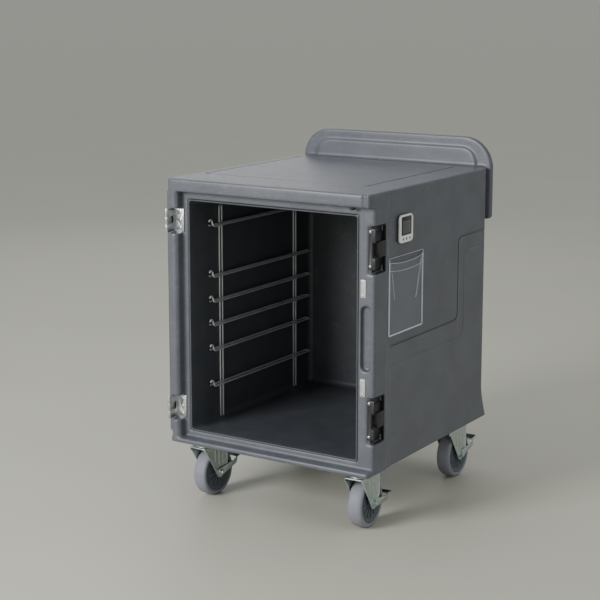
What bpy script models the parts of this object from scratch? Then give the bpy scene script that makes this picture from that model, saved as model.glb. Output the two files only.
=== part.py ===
"""Insulated food carrier: a half-height, foam-filled cabinet on four braked swivel casters.

Units are metres, +Z up. The cabinet's doorway faces -Y and its right side faces +X. Sizes are written
from the cabinet's front left as an operator stands at it: X is measured from the cabinet's centre plane,
Y from the front face of the brow, Z from the floor. One root empty moves the whole into the part's
frame, whose origin is under the middle of the part's bounding box.
"""

import math

import bmesh
import bpy
from mathutils import Matrix, Vector

# ---------------------------------------------------------------- driving sizes
MM = 0.001
GAP = 0.3 * MM                     # clearance between pieces that touch

BODY_WIDTH = 710 * MM
BODY_DEPTH = 802 * MM
BODY_HEIGHT = 829 * MM
UNDERSIDE = 190 * MM               # floor to the cabinet's underside

SKIN = 6 * MM                      # wall of the moulded outer shell
FRAME_DEPTH = 78 * MM              # solid frame round the doorway
RECESS = 34 * MM                   # how far brow, sill and hinge column stand proud of the stiles
BROW_HEIGHT = 39 * MM
SILL_HEIGHT = 16 * MM
COLUMN_WIDTH = 36 * MM
OPENING_WIDTH = 602 * MM
OPENING_TOP_BAND = 25 * MM         # stile face between the brow and the opening
OPENING_SILL_BAND = 20 * MM        # stile face between the sill and the opening
REAR_CORNER = 50 * MM
FRONT_CORNER = 14 * MM

RIM_THICKNESS = 18 * MM            # wrap-round rim at the rear, also a push handle
RIM_HEIGHT = 93 * MM               # above the deck
RIM_LEG = 170 * MM                 # below the deck
RIM_CORNER = 100 * MM
RIM_PANEL_INSET = 36 * MM
RIM_PANEL_SIDE = 54 * MM
RIM_PANEL_RELIEF = 5 * MM

FLARE_HEIGHT = 210 * MM            # spreading foot of the rear wall
FLARE_CORNER = 14 * MM
FLARE_STEPS = 8

SIDE_STEP = 3 * MM                 # each step of the side relief
SIDE_TOP_BAND = 18 * MM
RELIEF_FRONT_HEIGHT = 340 * MM     # lower side panel, above the underside, in front
RELIEF_REAR_HEIGHT = 625 * MM      # and behind
RELIEF_REAR_START = 572 * MM

DECK_GROOVE = 4 * MM
DECK_GROOVE_DEPTH = 2.5 * MM
DECK_PANEL_LEFT = 329 * MM
DECK_PANEL_RIGHT = 255 * MM
DECK_PANEL_FRONT = 153 * MM
DECK_PANEL_REAR = 735 * MM
BROW_FLUTE_RADIUS = 9 * MM
BROW_FLUTE_DEPTH = 4 * MM
BROW_FLUTE_FROM_RIGHT = 17 * MM
BROW_LINE = 14 * MM

LINER_WALL = 5 * MM
LINER_DEPTH = 690 * MM

DOOR_THICKNESS = 28 * MM
DOOR_GAP = 2 * MM
DOOR_SKIN = 4 * MM
DOOR_EDGE_SOLID = 62 * MM          # solid margin that carries the latches
DOOR_CORNER = 8 * MM
PANEL_SHEET = 3 * MM
PLUG_CLEARANCE = 9 * MM
PLUG_DEPTH = 22 * MM
PLUG_CORNER = 12 * MM
GASKET_WIDTH = 14 * MM

HINGE_HEIGHT = 76 * MM             # pocket height
HINGE_UPPER = 131 * MM             # pocket centre below the deck
HINGE_LOWER = 111 * MM             # pocket centre above the underside
HINGE_SHEET = 3 * MM
HINGE_TUBE = 5.5 * MM              # knuckle radius
HINGE_PIN = 2.5 * MM               # pin radius
HINGE_OFFSET = 1.5 * MM            # axis outboard of the cabinet side

LATCH_UPPER = 163 * MM             # latch centre below the deck
LATCH_LOWER = 163 * MM             # latch centre above the underside
LATCH_POCKET = 140 * MM            # height of the strike's pocket
LATCH_SIDE = 66 * MM               # how far the pocket runs along the side
STRIKE_REACH = 22 * MM             # how far the pocket runs across the stile
STRIKE_SHEET = 3.4 * MM
STRIKE_SLOT = 46 * MM
LATCH_HEIGHT = 90 * MM
LATCH_DEPTH = 14 * MM
LATCH_WIDTH = 46 * MM
LATCH_ARM = 40 * MM

CATCH_HEIGHT = 52 * MM
CATCH_WIDTH = 17 * MM
CATCH_SHEET = 2 * MM
CATCH_UPPER = 276 * MM             # catch plate centre below the deck
CATCH_LOWER = 261 * MM             # catch plate centre above the underside
HANDHOLD_HEIGHT = 192 * MM
HANDHOLD_WIDTH = 34 * MM
HANDHOLD_DEPTH = 14 * MM
HANDHOLD_CENTRE = 406 * MM         # above the underside

BUMPER_FROM_RIGHT = 64 * MM
BUMPER_RADIUS = 9 * MM
BUMPER_DROP = 8 * MM

THERMO_WIDTH = 80 * MM
THERMO_HEIGHT = 82 * MM
THERMO_PROUD = 12 * MM
THERMO_FRONT = 164 * MM
THERMO_BELOW_DECK = 79 * MM
THERMO_CORNER = 13 * MM
SCREEN_WIDTH = 60 * MM
SCREEN_HEIGHT = 54 * MM
SCREEN_RISE = 8 * MM
BUTTON_RADIUS = 4 * MM
BUTTON_PITCH = 20 * MM
BUTTON_DROP = 30 * MM              # below the housing's centre
BUTTON_TRAVEL = 1.5 * MM
PROBE_RADIUS = 3 * MM
PROBE_LENGTH = 60 * MM

SLEEVE_WIDTH = 210 * MM
SLEEVE_HEIGHT = 232 * MM
SLEEVE_FRONT = 118 * MM
SLEEVE_BELOW_DECK = 199 * MM
SLEEVE_SHEET = 1.2 * MM
SLEEVE_SPACE = 7 * MM

WIRE = 3 * MM                      # rail wire radius
RAIL_LEVELS = (120 * MM, 235 * MM, 315 * MM, 390 * MM, 470 * MM, 630 * MM)
RAIL_REACH = 26 * MM
RAIL_FRONT = 92 * MM
RAIL_LENGTH = 560 * MM
RAIL_HOOK = 24 * MM
UPRIGHT_FRONT = 150 * MM
UPRIGHT_SPACING = 430 * MM
UPRIGHT_PAIR = 14 * MM
UPRIGHT_HEIGHT = 690 * MM

WHEEL_RADIUS = 76 * MM
WHEEL_WIDTH = 46 * MM
TREAD = 14 * MM
CASTER_TRAIL = 38 * MM
LEG_BEHIND_AXLE = 38 * MM
LEG_AHEAD_OF_SWIVEL = 42 * MM
LEG_TIP = 18 * MM
CASTER_INSET_X = 74 * MM
CASTER_INSET_FRONT = 84 * MM
CASTER_INSET_REAR = 148 * MM
PLATE_LENGTH = 102 * MM
PLATE_WIDTH = 84 * MM
PLATE_SHEET = 4 * MM
RACE_RADIUS = 30 * MM
RACE_HEIGHT = 12 * MM
CROWN_HEIGHT = 8 * MM
FORK_SHEET = 3 * MM
FORK_SIDE_GAP = 4 * MM
AXLE_RADIUS = 6 * MM
CASTER_HEADINGS = {"front_right": 93, "front_left": 88, "rear_right": 90, "rear_left": 90}
PEDAL_LIFTS = {"front_right": -4, "front_left": 12, "rear_right": 12, "rear_left": 12}
PEDAL_SHEET = 3 * MM
PEDAL_CLEARANCE = 12 * MM           # between the tread and the foot plate
PEDAL_LENGTH = 34 * MM
PEDAL_STEP = 12 * MM               # foot plate above the arm's centre line

# ---------------------------------------------------------------- sizes that follow
HALF = BODY_WIDTH / 2
DECK = UNDERSIDE + BODY_HEIGHT
STILE = RECESS                                     # Y of the stile face
REAR_WALL = BODY_DEPTH - RIM_THICKNESS             # Y of the plain rear wall
BROW_UNDER = DECK - BROW_HEIGHT
SILL_TOP = UNDERSIDE + SILL_HEIGHT
OPEN_TOP = BROW_UNDER - OPENING_TOP_BAND
OPEN_BOTTOM = SILL_TOP + OPENING_SILL_BAND
OPEN_HALF = OPENING_WIDTH / 2
SIDE_FACE = HALF - SIDE_STEP                       # X of the main side panel
PANEL_START = STILE + FRAME_DEPTH                  # Y where the main side panel begins
LINER_HALF = OPEN_HALF - GAP
LINER_INSIDE = LINER_HALF - LINER_WALL
LINER_FLOOR = OPEN_BOTTOM + GAP + LINER_WALL
LINER_CEILING = OPEN_TOP - GAP - LINER_WALL

HINGE_X = -HALF - HINGE_OFFSET
HINGE_Y = 0.0
HINGE_CENTRES = {"upper": DECK - HINGE_UPPER, "lower": UNDERSIDE + HINGE_LOWER}
LATCH_CENTRES = {"upper": DECK - LATCH_UPPER, "lower": UNDERSIDE + LATCH_LOWER}
CATCH_CENTRES = {"upper": DECK - CATCH_UPPER, "lower": UNDERSIDE + CATCH_LOWER}

DOOR_LEFT = -HALF + COLUMN_WIDTH + DOOR_GAP
DOOR_RIGHT = HALF - GAP
DOOR_BOTTOM = SILL_TOP + DOOR_GAP
DOOR_TOP = BROW_UNDER - DOOR_GAP
PLUG_HALF = LINER_INSIDE - PLUG_CLEARANCE
PLUG_BOTTOM = LINER_FLOOR + PLUG_CLEARANCE
PLUG_TOP = LINER_CEILING - PLUG_CLEARANCE
SHEET_BACK = DOOR_THICKNESS + GAP + PANEL_SHEET    # Y of the door's inner sheet
PLUG_BACK = SHEET_BACK + PLUG_DEPTH

ARM_INNER = HALF - 7.4 * MM                        # latch arm, in the strike's notch
ARM_OUTER = HALF - 3 * MM
POCKET_FLOOR = HALF - 14 * MM                      # X of the strike pocket's floor
ARM_TIP = DOOR_THICKNESS + 29 * MM
TOOTH_START = STILE + 12 * MM
TOOTH_HEIGHT = 28 * MM

SWIVEL_Z = UNDERSIDE - GAP - PLATE_SHEET - RACE_HEIGHT
CASTER_PLACES = {
    "front_right": (HALF - CASTER_INSET_X, CASTER_INSET_FRONT),
    "front_left": (-HALF + CASTER_INSET_X, CASTER_INSET_FRONT),
    "rear_right": (HALF - CASTER_INSET_X, BODY_DEPTH - CASTER_INSET_REAR),
    "rear_left": (-HALF + CASTER_INSET_X, BODY_DEPTH - CASTER_INSET_REAR),
}

LEFT_EXTENT = HINGE_X - ARM_TIP                    # latch arms of the folded door
RIGHT_EXTENT = SIDE_FACE + GAP + THERMO_PROUD
FRONT_EXTENT = HINGE_Y - HINGE_TUBE
PEDAL_REACH = WHEEL_RADIUS + PEDAL_CLEARANCE + PEDAL_LENGTH
REAR_LIFT = math.radians(PEDAL_LIFTS["rear_right"])
FOOT_UNDER = PEDAL_STEP - PEDAL_SHEET + 0.5 * MM
PEDAL_REAR = (BODY_DEPTH - CASTER_INSET_REAR + CASTER_TRAIL
              + PEDAL_REACH * math.cos(REAR_LIFT) - FOOT_UNDER * math.sin(REAR_LIFT))
REAR_EXTENT = max(BODY_DEPTH, PEDAL_REAR)
ORIGIN = Vector(((LEFT_EXTENT + RIGHT_EXTENT) / 2, (FRONT_EXTENT + REAR_EXTENT) / 2, 0))

SIDES = {"left": -1, "right": 1}


# ---------------------------------------------------------------- scene and materials
def clear_scene():
    """Remove every object of the open scene."""
    for item in list(bpy.data.objects):
        bpy.data.objects.remove(item, do_unlink=True)


def make_collection(name):
    """Return a new collection linked to the scene."""
    collection = bpy.data.collections.new(name)
    bpy.context.scene.collection.children.link(collection)
    return collection


def make_material(name, colour, roughness, metallic=0.0, alpha=1.0):
    """Return a Principled material."""
    material = bpy.data.materials.new(name)
    material.use_nodes = True
    shader = material.node_tree.nodes["Principled BSDF"]
    shader.inputs["Base Color"].default_value = (*colour, 1)
    shader.inputs["Roughness"].default_value = roughness
    shader.inputs["Metallic"].default_value = metallic
    shader.inputs["Alpha"].default_value = alpha
    return material


clear_scene()
PARTS = make_collection("insulated_food_carrier")
CUTTERS = make_collection("cutters")

CHARCOAL = (0.085, 0.092, 0.105)
MATERIALS = {
    "polyethylene": make_material("polyethylene", CHARCOAL, 0.55),
    "liner": make_material("liner_polyethylene", (0.03, 0.032, 0.036), 0.6),
    "foam": make_material("polyurethane_foam", (0.75, 0.66, 0.4), 0.9),
    "gasket": make_material("gasket_rubber", (0.02, 0.02, 0.02), 0.7),
    "stainless": make_material("stainless_steel", (0.62, 0.63, 0.64), 0.3, 1.0),
    "zinc": make_material("zinc_plated_steel", (0.5, 0.56, 0.55), 0.35, 1.0),
    "nylon": make_material("black_nylon", (0.015, 0.015, 0.017), 0.45),
    "white": make_material("white_abs", (0.8, 0.8, 0.8), 0.4),
    "screen": make_material("display_window", (0.01, 0.012, 0.015), 0.1),
    "clear": make_material("clear_vinyl", (0.7, 0.74, 0.76), 0.1, 0.0, 0.3),
    "tread": make_material("grey_tread_rubber", (0.16, 0.16, 0.2), 0.6),
    "hub": make_material("grey_polypropylene", (0.2, 0.2, 0.22), 0.5),
}


def make_empty(name, location, parent=None, turn=0.0):
    """Return an empty at a place in its parent's frame, turned about Z."""
    empty = bpy.data.objects.new(name, None)
    empty.location = location
    empty.rotation_euler = (0, 0, turn)
    empty.parent = parent
    PARTS.objects.link(empty)
    return empty


# ---------------------------------------------------------------- solids
def mesh_object(name, mesh, collection=CUTTERS):
    """Link a mesh as a new object; cutters stay hidden."""
    item = bpy.data.objects.new(name, mesh)
    collection.objects.link(item)
    if collection is CUTTERS:
        item.hide_render = True
        item.display_type = "WIRE"
    return item


def block(low, high):
    """Return a box mesh between two corners."""
    low = Vector(low)
    high = Vector(high)
    mesh = bpy.data.meshes.new("block")
    form = bmesh.new()
    bmesh.ops.create_cube(form, size=1)
    bmesh.ops.scale(form, vec=high - low, verts=form.verts)
    bmesh.ops.translate(form, vec=(low + high) / 2, verts=form.verts)
    form.to_mesh(mesh)
    form.free()
    return mesh


def rod(start, end, radius, segments=24):
    """Return a cylinder mesh between two points."""
    start = Vector(start)
    axis = Vector(end) - start
    mesh = bpy.data.meshes.new("rod")
    form = bmesh.new()
    bmesh.ops.create_cone(form, cap_ends=True, segments=segments, radius1=radius, radius2=radius,
                          depth=axis.length)
    turn = Vector((0, 0, 1)).rotation_difference(axis).to_matrix().to_4x4()
    bmesh.ops.transform(form, matrix=Matrix.Translation(start + axis / 2) @ turn, verts=form.verts)
    form.to_mesh(mesh)
    form.free()
    mesh.shade_smooth()
    mesh.set_sharp_from_angle(angle=math.radians(40))
    return mesh


def arc(centre, radius, start, end, steps):
    """Return points on an arc, angles in degrees."""
    points = []
    for step in range(steps + 1):
        angle = math.radians(start + (end - start) * step / steps)
        points.append((centre[0] + radius * math.cos(angle), centre[1] + radius * math.sin(angle)))
    return points


def rounded_outline(low, high, radii, steps=5):
    """Return a rounded rectangle; radii run from the low corner anticlockwise."""
    corners = ((low[0], low[1], 180), (high[0], low[1], 270), (high[0], high[1], 0), (low[0], high[1], 90))
    inward = ((1, 1), (-1, 1), (-1, -1), (1, -1))
    points = []
    for (x, y, start), (dx, dy), radius in zip(corners, inward, radii):
        if radius <= 0:
            points.append((x, y))
        else:
            points += arc((x + dx * radius, y + dy * radius), radius, start, start + 90, steps)
    return points


AXES = {
    "Z": Matrix.Identity(4),
    "Y": Matrix(((1, 0, 0, 0), (0, 0, 1, 0), (0, 1, 0, 0), (0, 0, 0, 1))),
    "X": Matrix(((0, 0, 1, 0), (1, 0, 0, 0), (0, 1, 0, 0), (0, 0, 0, 1))),
}


def slab(outline, low, high, axis="Z"):
    """Return a flat outline extruded along an axis.

    The outline's two numbers are X, Y for the Z axis, X, Z for the Y axis and Y, Z for the X axis.
    """
    curve = bpy.data.curves.new("slab", "CURVE")
    curve.dimensions = "2D"
    curve.fill_mode = "BOTH"
    curve.extrude = (high - low) / 2
    spline = curve.splines.new("POLY")
    spline.points.add(len(outline) - 1)
    for point, (x, y) in zip(spline.points, outline):
        point.co = (x, y, 0, 1)
    spline.use_cyclic_u = True
    holder = bpy.data.objects.new("slab", curve)
    CUTTERS.objects.link(holder)
    bpy.context.view_layer.update()
    mesh = bpy.data.meshes.new_from_object(holder.evaluated_get(bpy.context.evaluated_depsgraph_get()))
    bpy.data.objects.remove(holder)
    form = bmesh.new()
    form.from_mesh(mesh)
    bmesh.ops.remove_doubles(form, verts=form.verts, dist=1e-6)
    bmesh.ops.translate(form, vec=(0, 0, (low + high) / 2), verts=form.verts)
    bmesh.ops.transform(form, matrix=AXES[axis], verts=form.verts)
    bmesh.ops.recalc_face_normals(form, faces=form.faces)
    form.to_mesh(mesh)
    form.free()
    return mesh


def wire(points, radius=WIRE, cyclic=False):
    """Return a mesh of round wire along points."""
    curve = bpy.data.curves.new("wire", "CURVE")
    curve.dimensions = "3D"
    curve.bevel_depth = radius
    curve.bevel_resolution = 2
    curve.use_fill_caps = not cyclic
    spline = curve.splines.new("POLY")
    spline.points.add(len(points) - 1)
    for point, place in zip(spline.points, points):
        point.co = (*place, 1)
    spline.use_cyclic_u = cyclic
    holder = bpy.data.objects.new("wire", curve)
    CUTTERS.objects.link(holder)
    bpy.context.view_layer.update()
    mesh = bpy.data.meshes.new_from_object(holder.evaluated_get(bpy.context.evaluated_depsgraph_get()))
    bpy.data.objects.remove(holder)
    form = bmesh.new()
    form.from_mesh(mesh)
    bmesh.ops.remove_doubles(form, verts=form.verts, dist=1e-6)
    bmesh.ops.recalc_face_normals(form, faces=form.faces)
    form.to_mesh(mesh)
    form.free()
    return mesh


def turned(profile, steps=24):
    """Return a solid turned about the X axis from (radius, x) points, outer side first."""
    mesh = bpy.data.meshes.new("turned")
    form = bmesh.new()
    vertices = [form.verts.new((radius, 0, -x)) for radius, x in profile]
    for index, vertex in enumerate(vertices):
        form.edges.new((vertex, vertices[(index + 1) % len(vertices)]))
    form.to_mesh(mesh)
    form.free()
    holder = mesh_object("turned", mesh)
    screw = holder.modifiers.new("turn", "SCREW")
    screw.steps = steps
    screw.render_steps = steps
    screw.use_merge_vertices = True
    screw.merge_threshold = 0.00001
    bpy.context.view_layer.update()
    solid = bpy.data.meshes.new_from_object(holder.evaluated_get(bpy.context.evaluated_depsgraph_get()))
    bpy.data.objects.remove(holder)
    form = bmesh.new()
    form.from_mesh(solid)
    bmesh.ops.transform(form, matrix=Matrix.Rotation(math.radians(90), 4, "Y"), verts=form.verts)
    bmesh.ops.recalc_face_normals(form, faces=form.faces)
    form.to_mesh(solid)
    form.free()
    return solid


def piece(name, mesh, material, parent, add=(), cut=(), bevel=0.0, shift=(0, 0, 0)):
    """Make one named sub-part: a base mesh, meshes joined to it, meshes cut from it, eased edges.

    Shift is taken from every mesh, so that the sub-part's own origin can lie on its parent's axis.
    """
    away = Matrix.Translation(-Vector(shift))
    mesh.transform(away)
    item = mesh_object(name, mesh, PARTS)
    item.parent = parent
    mesh.materials.append(MATERIALS[material])
    for kind, meshes in (("UNION", add), ("DIFFERENCE", cut)):
        for tool_mesh in meshes:
            tool_mesh.transform(away)
            tool = mesh_object(f"{name}_{kind.lower()}", tool_mesh)
            tool.parent = parent
            change = item.modifiers.new(kind.lower(), "BOOLEAN")
            change.operation = kind
            change.solver = "EXACT"
            change.object = tool
    if bevel:
        ease = item.modifiers.new("ease", "BEVEL")
        ease.width = bevel
        ease.segments = 1
        ease.limit_method = "ANGLE"
        ease.angle_limit = math.radians(50)
        ease.use_clamp_overlap = True
    return item


# ---------------------------------------------------------------- cabinet
def rear_foot():
    """Return the spreading foot of the rear wall, as outlines stacked from the underside upwards."""
    half = HALF - 2 * SIDE_STEP - GAP
    form = bmesh.new()
    rings = []
    for step in range(FLARE_STEPS + 1):
        share = step / FLARE_STEPS
        spread = (1 - share) ** 2
        corner = REAR_CORNER + (FLARE_CORNER - REAR_CORNER) * spread
        back = REAR_WALL - GAP + (RIM_THICKNESS + GAP) * spread
        outline = rounded_outline((-half, REAR_WALL - 1.5 * REAR_CORNER), (half, back),
                                  (0, 0, corner, corner))
        rings.append([form.verts.new((x, y, UNDERSIDE + FLARE_HEIGHT * share)) for x, y in outline])
    for lower, upper in zip(rings, rings[1:]):
        for index in range(len(lower)):
            after = (index + 1) % len(lower)
            form.faces.new((lower[index], lower[after], upper[after], upper[index]))
    form.faces.new(rings[0])
    form.faces.new(rings[-1])
    bmesh.ops.recalc_face_normals(form, faces=form.faces)
    mesh = bpy.data.meshes.new("rear_foot")
    form.to_mesh(mesh)
    form.free()
    return mesh


def side_relief(side):
    """Return the two meshes that sink a side: the main panel and the lower panel with its step."""
    outside = HALF + SKIN
    main = slab(
        rounded_outline((PANEL_START, UNDERSIDE - SKIN), (REAR_WALL, DECK - SIDE_TOP_BAND),
                        (0, 0, 12 * MM, 12 * MM)),
        min(side * SIDE_FACE, side * outside), max(side * SIDE_FACE, side * outside), "X")
    deep = side * (SIDE_FACE - SIDE_STEP)
    front = PANEL_START + 24 * MM
    behind = REAR_WALL + SKIN
    corner = 20 * MM
    top_front = UNDERSIDE + RELIEF_FRONT_HEIGHT
    top_rear = UNDERSIDE + RELIEF_REAR_HEIGHT
    outline = [(front, UNDERSIDE - SKIN), (behind, UNDERSIDE - SKIN), (behind, top_rear)]
    outline += arc((RELIEF_REAR_START + corner, top_rear - corner), corner, 90, 180, 4)
    outline += arc((RELIEF_REAR_START - corner, top_front + corner), corner, 0, -90, 4)
    outline += arc((front + corner, top_front - corner), corner, 90, 180, 4)
    lower = slab(outline, min(deep, side * outside), max(deep, side * outside), "X")
    return [main, lower]


def deck_groove():
    """Return the ring that outlines the deck's panel."""
    low = (-DECK_PANEL_LEFT, DECK_PANEL_FRONT)
    high = (DECK_PANEL_RIGHT, DECK_PANEL_REAR)
    bottom = DECK - DECK_GROOVE_DEPTH
    top = DECK + SKIN
    ring = []
    for (x0, y0), (x1, y1) in (
            (low, (high[0], low[1] + DECK_GROOVE)),
            ((low[0], high[1] - DECK_GROOVE), high),
            (low, (low[0] + DECK_GROOVE, high[1])),
            ((high[0] - DECK_GROOVE, low[1]), high)):
        ring.append(block((x0, y0, bottom), (x1, y1, top)))
    return ring


def strike_pockets():
    """Return the hollows in the right stile that take the latch strikes."""
    hollows = []
    for centre in LATCH_CENTRES.values():
        low = centre - LATCH_POCKET / 2
        high = centre + LATCH_POCKET / 2
        hollows.append(block((HALF - STRIKE_REACH - 2 * MM, STILE - SKIN, low),
                             (HALF + SKIN, STILE + 2 * STRIKE_SHEET, high)))
        hollows.append(block((POCKET_FLOOR, STILE - SKIN, low), (HALF + SKIN, STILE + LATCH_SIDE, high)))
    return hollows


def hinge_pockets():
    """Return the hollows in the left column that take the hinges."""
    hollows = []
    for centre in HINGE_CENTRES.values():
        hollows.append(block((-HALF - SKIN, -SKIN, centre - HINGE_HEIGHT / 2),
                             (-HALF + COLUMN_WIDTH + SKIN, STILE, centre + HINGE_HEIGHT / 2)))
    return hollows


def catch_seats():
    """Return the shallow seats of the catch plates."""
    seats = []
    for centre in CATCH_CENTRES.values():
        x = OPEN_HALF + 8 * MM
        seats.append(block((x - GAP, STILE - SKIN, centre - CATCH_HEIGHT / 2 - GAP),
                           (x + CATCH_WIDTH + GAP, STILE + CATCH_SHEET / 2 + GAP,
                            centre + CATCH_HEIGHT / 2 + GAP)))
    return seats


def make_cabinet(root):
    """Make the outer shell, its foam and the inner liner."""
    main = slab(
        rounded_outline((-HALF, STILE), (HALF, REAR_WALL),
                        (FRONT_CORNER, 8 * MM, REAR_CORNER, REAR_CORNER)),
        UNDERSIDE, DECK)
    brow = slab(rounded_outline((-HALF, 0), (HALF, STILE + FRONT_CORNER), (10 * MM, 10 * MM, 0, 0)),
                BROW_UNDER, DECK)
    sill = slab(rounded_outline((-HALF, 0), (HALF, STILE + FRONT_CORNER), (10 * MM, 10 * MM, 0, 0)),
                UNDERSIDE, SILL_TOP)
    column = slab(
        rounded_outline((-HALF, 0), (-HALF + COLUMN_WIDTH, STILE + FRONT_CORNER), (17 * MM, 17 * MM, 0, 0)),
        SILL_TOP - SKIN, BROW_UNDER + SKIN)
    rim = slab(
        rounded_outline((-HALF, DECK - RIM_LEG), (HALF, DECK + RIM_HEIGHT),
                        (12 * MM, 12 * MM, RIM_CORNER, RIM_CORNER), 9),
        REAR_WALL - SKIN / 2, BODY_DEPTH, "Y")
    rim_panel = slab(
        rounded_outline((-HALF + RIM_PANEL_SIDE, DECK - SKIN / 2),
                        (HALF - RIM_PANEL_SIDE, DECK + RIM_HEIGHT - RIM_PANEL_INSET),
                        (0, 0, 50 * MM, 50 * MM), 5),
        REAR_WALL - SKIN / 2 - RIM_PANEL_RELIEF, REAR_WALL, "Y")

    inner = HALF - 2 * SIDE_STEP - SKIN
    cavity_low = UNDERSIDE + SKIN
    cavity_high = DECK - SKIN
    cavity = slab(
        rounded_outline((-inner, PANEL_START), (inner, REAR_WALL - SKIN),
                        (0, 0, REAR_CORNER - SKIN, REAR_CORNER - SKIN)),
        cavity_low, cavity_high)
    doorway = block((-OPEN_HALF, STILE - SKIN, OPEN_BOTTOM), (OPEN_HALF, PANEL_START + SKIN, OPEN_TOP))
    brow_line = block((-HALF - SKIN, BROW_LINE, DECK - 1.5 * MM),
                      (HALF + SKIN, BROW_LINE + 2 * MM, DECK + SKIN))
    flute_x = HALF - BROW_FLUTE_FROM_RIGHT
    flute_y = BROW_FLUTE_DEPTH - BROW_FLUTE_RADIUS
    flute = rod((flute_x, flute_y, BROW_UNDER - SKIN), (flute_x, flute_y, DECK + SKIN), BROW_FLUTE_RADIUS, 24)
    handhold_x = OPEN_HALF + 8 * MM
    handhold = slab(
        rounded_outline((handhold_x, UNDERSIDE + HANDHOLD_CENTRE - HANDHOLD_HEIGHT / 2),
                        (handhold_x + HANDHOLD_WIDTH, UNDERSIDE + HANDHOLD_CENTRE + HANDHOLD_HEIGHT / 2),
                        [HANDHOLD_WIDTH * 0.49] * 4, 6),
        STILE - SKIN, STILE + HANDHOLD_DEPTH, "Y")
    probe_z = DECK - THERMO_BELOW_DECK - THERMO_HEIGHT / 2
    probe_y = THERMO_FRONT + THERMO_WIDTH / 2
    probe_hole = rod((LINER_HALF, probe_y, probe_z), (HALF + SKIN, probe_y, probe_z), PROBE_RADIUS + GAP, 16)
    cuts = [cavity, doorway, brow_line, flute, handhold, probe_hole]
    cuts += side_relief(-1) + side_relief(1) + deck_groove()
    cuts += strike_pockets() + hinge_pockets() + catch_seats()
    piece("cabinet_shell", main, "polyethylene", root,
          add=[brow, sill, column, rim, rim_panel, rear_foot()], cut=cuts)

    foam = slab(
        rounded_outline((-inner + GAP, PANEL_START + GAP), (inner - GAP, REAR_WALL - SKIN - GAP),
                        (0, 0, REAR_CORNER - SKIN - GAP, REAR_CORNER - SKIN - GAP)),
        cavity_low + GAP, cavity_high - GAP)
    liner_back = STILE + LINER_DEPTH
    foam_hollow = block((-OPEN_HALF, STILE, OPEN_BOTTOM), (OPEN_HALF, liner_back + GAP, OPEN_TOP))
    probe_bore = rod((LINER_HALF, probe_y, probe_z), (HALF + SKIN, probe_y, probe_z), PROBE_RADIUS + GAP, 16)
    piece("foam_core", foam, "foam", root, cut=[foam_hollow, probe_bore])

    liner = block((-LINER_HALF, STILE, OPEN_BOTTOM + GAP), (LINER_HALF, liner_back, OPEN_TOP - GAP))
    liner_space = block((-LINER_INSIDE, STILE - SKIN, LINER_FLOOR),
                        (LINER_INSIDE, liner_back - LINER_WALL, LINER_CEILING))
    liner_bore = rod((LINER_INSIDE - SKIN, probe_y, probe_z), (HALF, probe_y, probe_z),
                     PROBE_RADIUS + GAP, 16)
    piece("inner_liner", liner, "liner", root, cut=[liner_space, liner_bore])


# ---------------------------------------------------------------- fittings of the doorway
def make_strikes(root):
    """Make the latch strikes in their pockets."""
    for level, centre in LATCH_CENTRES.items():
        front = block((HALF - STRIKE_REACH - 1 * MM, STILE + STRIKE_SHEET - GAP, centre - 56 * MM),
                      (HALF - 1 * MM, STILE + 2 * STRIKE_SHEET - GAP, centre + 62 * MM))
        side = block((POCKET_FLOOR + GAP, STILE + STRIKE_SHEET, centre - 50 * MM),
                     (POCKET_FLOOR + GAP + 3 * MM, STILE + LATCH_SIDE - 2 * MM, centre + 50 * MM))
        keeper = block((POCKET_FLOOR + 2 * MM, ARM_TIP + 3 * MM, centre - STRIKE_SLOT / 2),
                       (HALF - 1 * MM, STILE + LATCH_SIDE - 2 * MM, centre + STRIKE_SLOT / 2))
        notch = block((POCKET_FLOOR + GAP + 3 * MM, STILE - SKIN, centre - STRIKE_SLOT / 2),
                      (HALF + SKIN, STILE + 3 * STRIKE_SHEET, centre + STRIKE_SLOT / 2))
        window = block((POCKET_FLOOR - SKIN, TOOTH_START - 2 * MM, centre - TOOTH_HEIGHT / 2 - 2 * MM),
                       (POCKET_FLOOR + GAP + 4 * MM, ARM_TIP + 1.5 * MM,
                        centre + TOOTH_HEIGHT / 2 + 2 * MM))
        screws = []
        for offset in (-47 * MM, 53 * MM):
            x = HALF - STRIKE_REACH + 5 * MM
            y = STILE + STRIKE_SHEET
            z = centre + offset
            screws.append(rod((x, y + 1 * MM, z), (x, y - 1.5 * MM, z), 3.5 * MM, 16))
        piece(f"latch_strike_{level}", front, "nylon", root,
              add=[side, keeper] + screws, cut=[notch, window])


def make_catches(root):
    """Make the steel catch plates that the door's magnets meet."""
    for level, centre in CATCH_CENTRES.items():
        x = OPEN_HALF + 8 * MM
        back = STILE + CATCH_SHEET / 2
        plate = slab(rounded_outline((x, centre - CATCH_HEIGHT / 2),
                                     (x + CATCH_WIDTH, centre + CATCH_HEIGHT / 2), [2 * MM] * 4, 2),
                     back - CATCH_SHEET / 2, back, "Y")
        screws = []
        for offset in (-19 * MM, 19 * MM):
            middle = x + CATCH_WIDTH / 2
            screws.append(rod((middle, back - 0.5 * MM, centre + offset),
                              (middle, STILE - 0.8 * MM, centre + offset), 3 * MM, 12))
        piece(f"catch_plate_{level}", plate, "stainless", root, add=screws)


def make_bumper(root):
    """Make the rubber bumper under the brow."""
    x = HALF - BUMPER_FROM_RIGHT
    y = STILE / 2
    top = BROW_UNDER - GAP
    head = rod((x, y, top), (x, y, top - BUMPER_DROP), BUMPER_RADIUS, 20)
    tip = rod((x, y, top - BUMPER_DROP / 2), (x, y, top - BUMPER_DROP - 2 * MM), BUMPER_RADIUS * 0.55, 16)
    piece("brow_bumper", head, "nylon", root, add=[tip])


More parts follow.
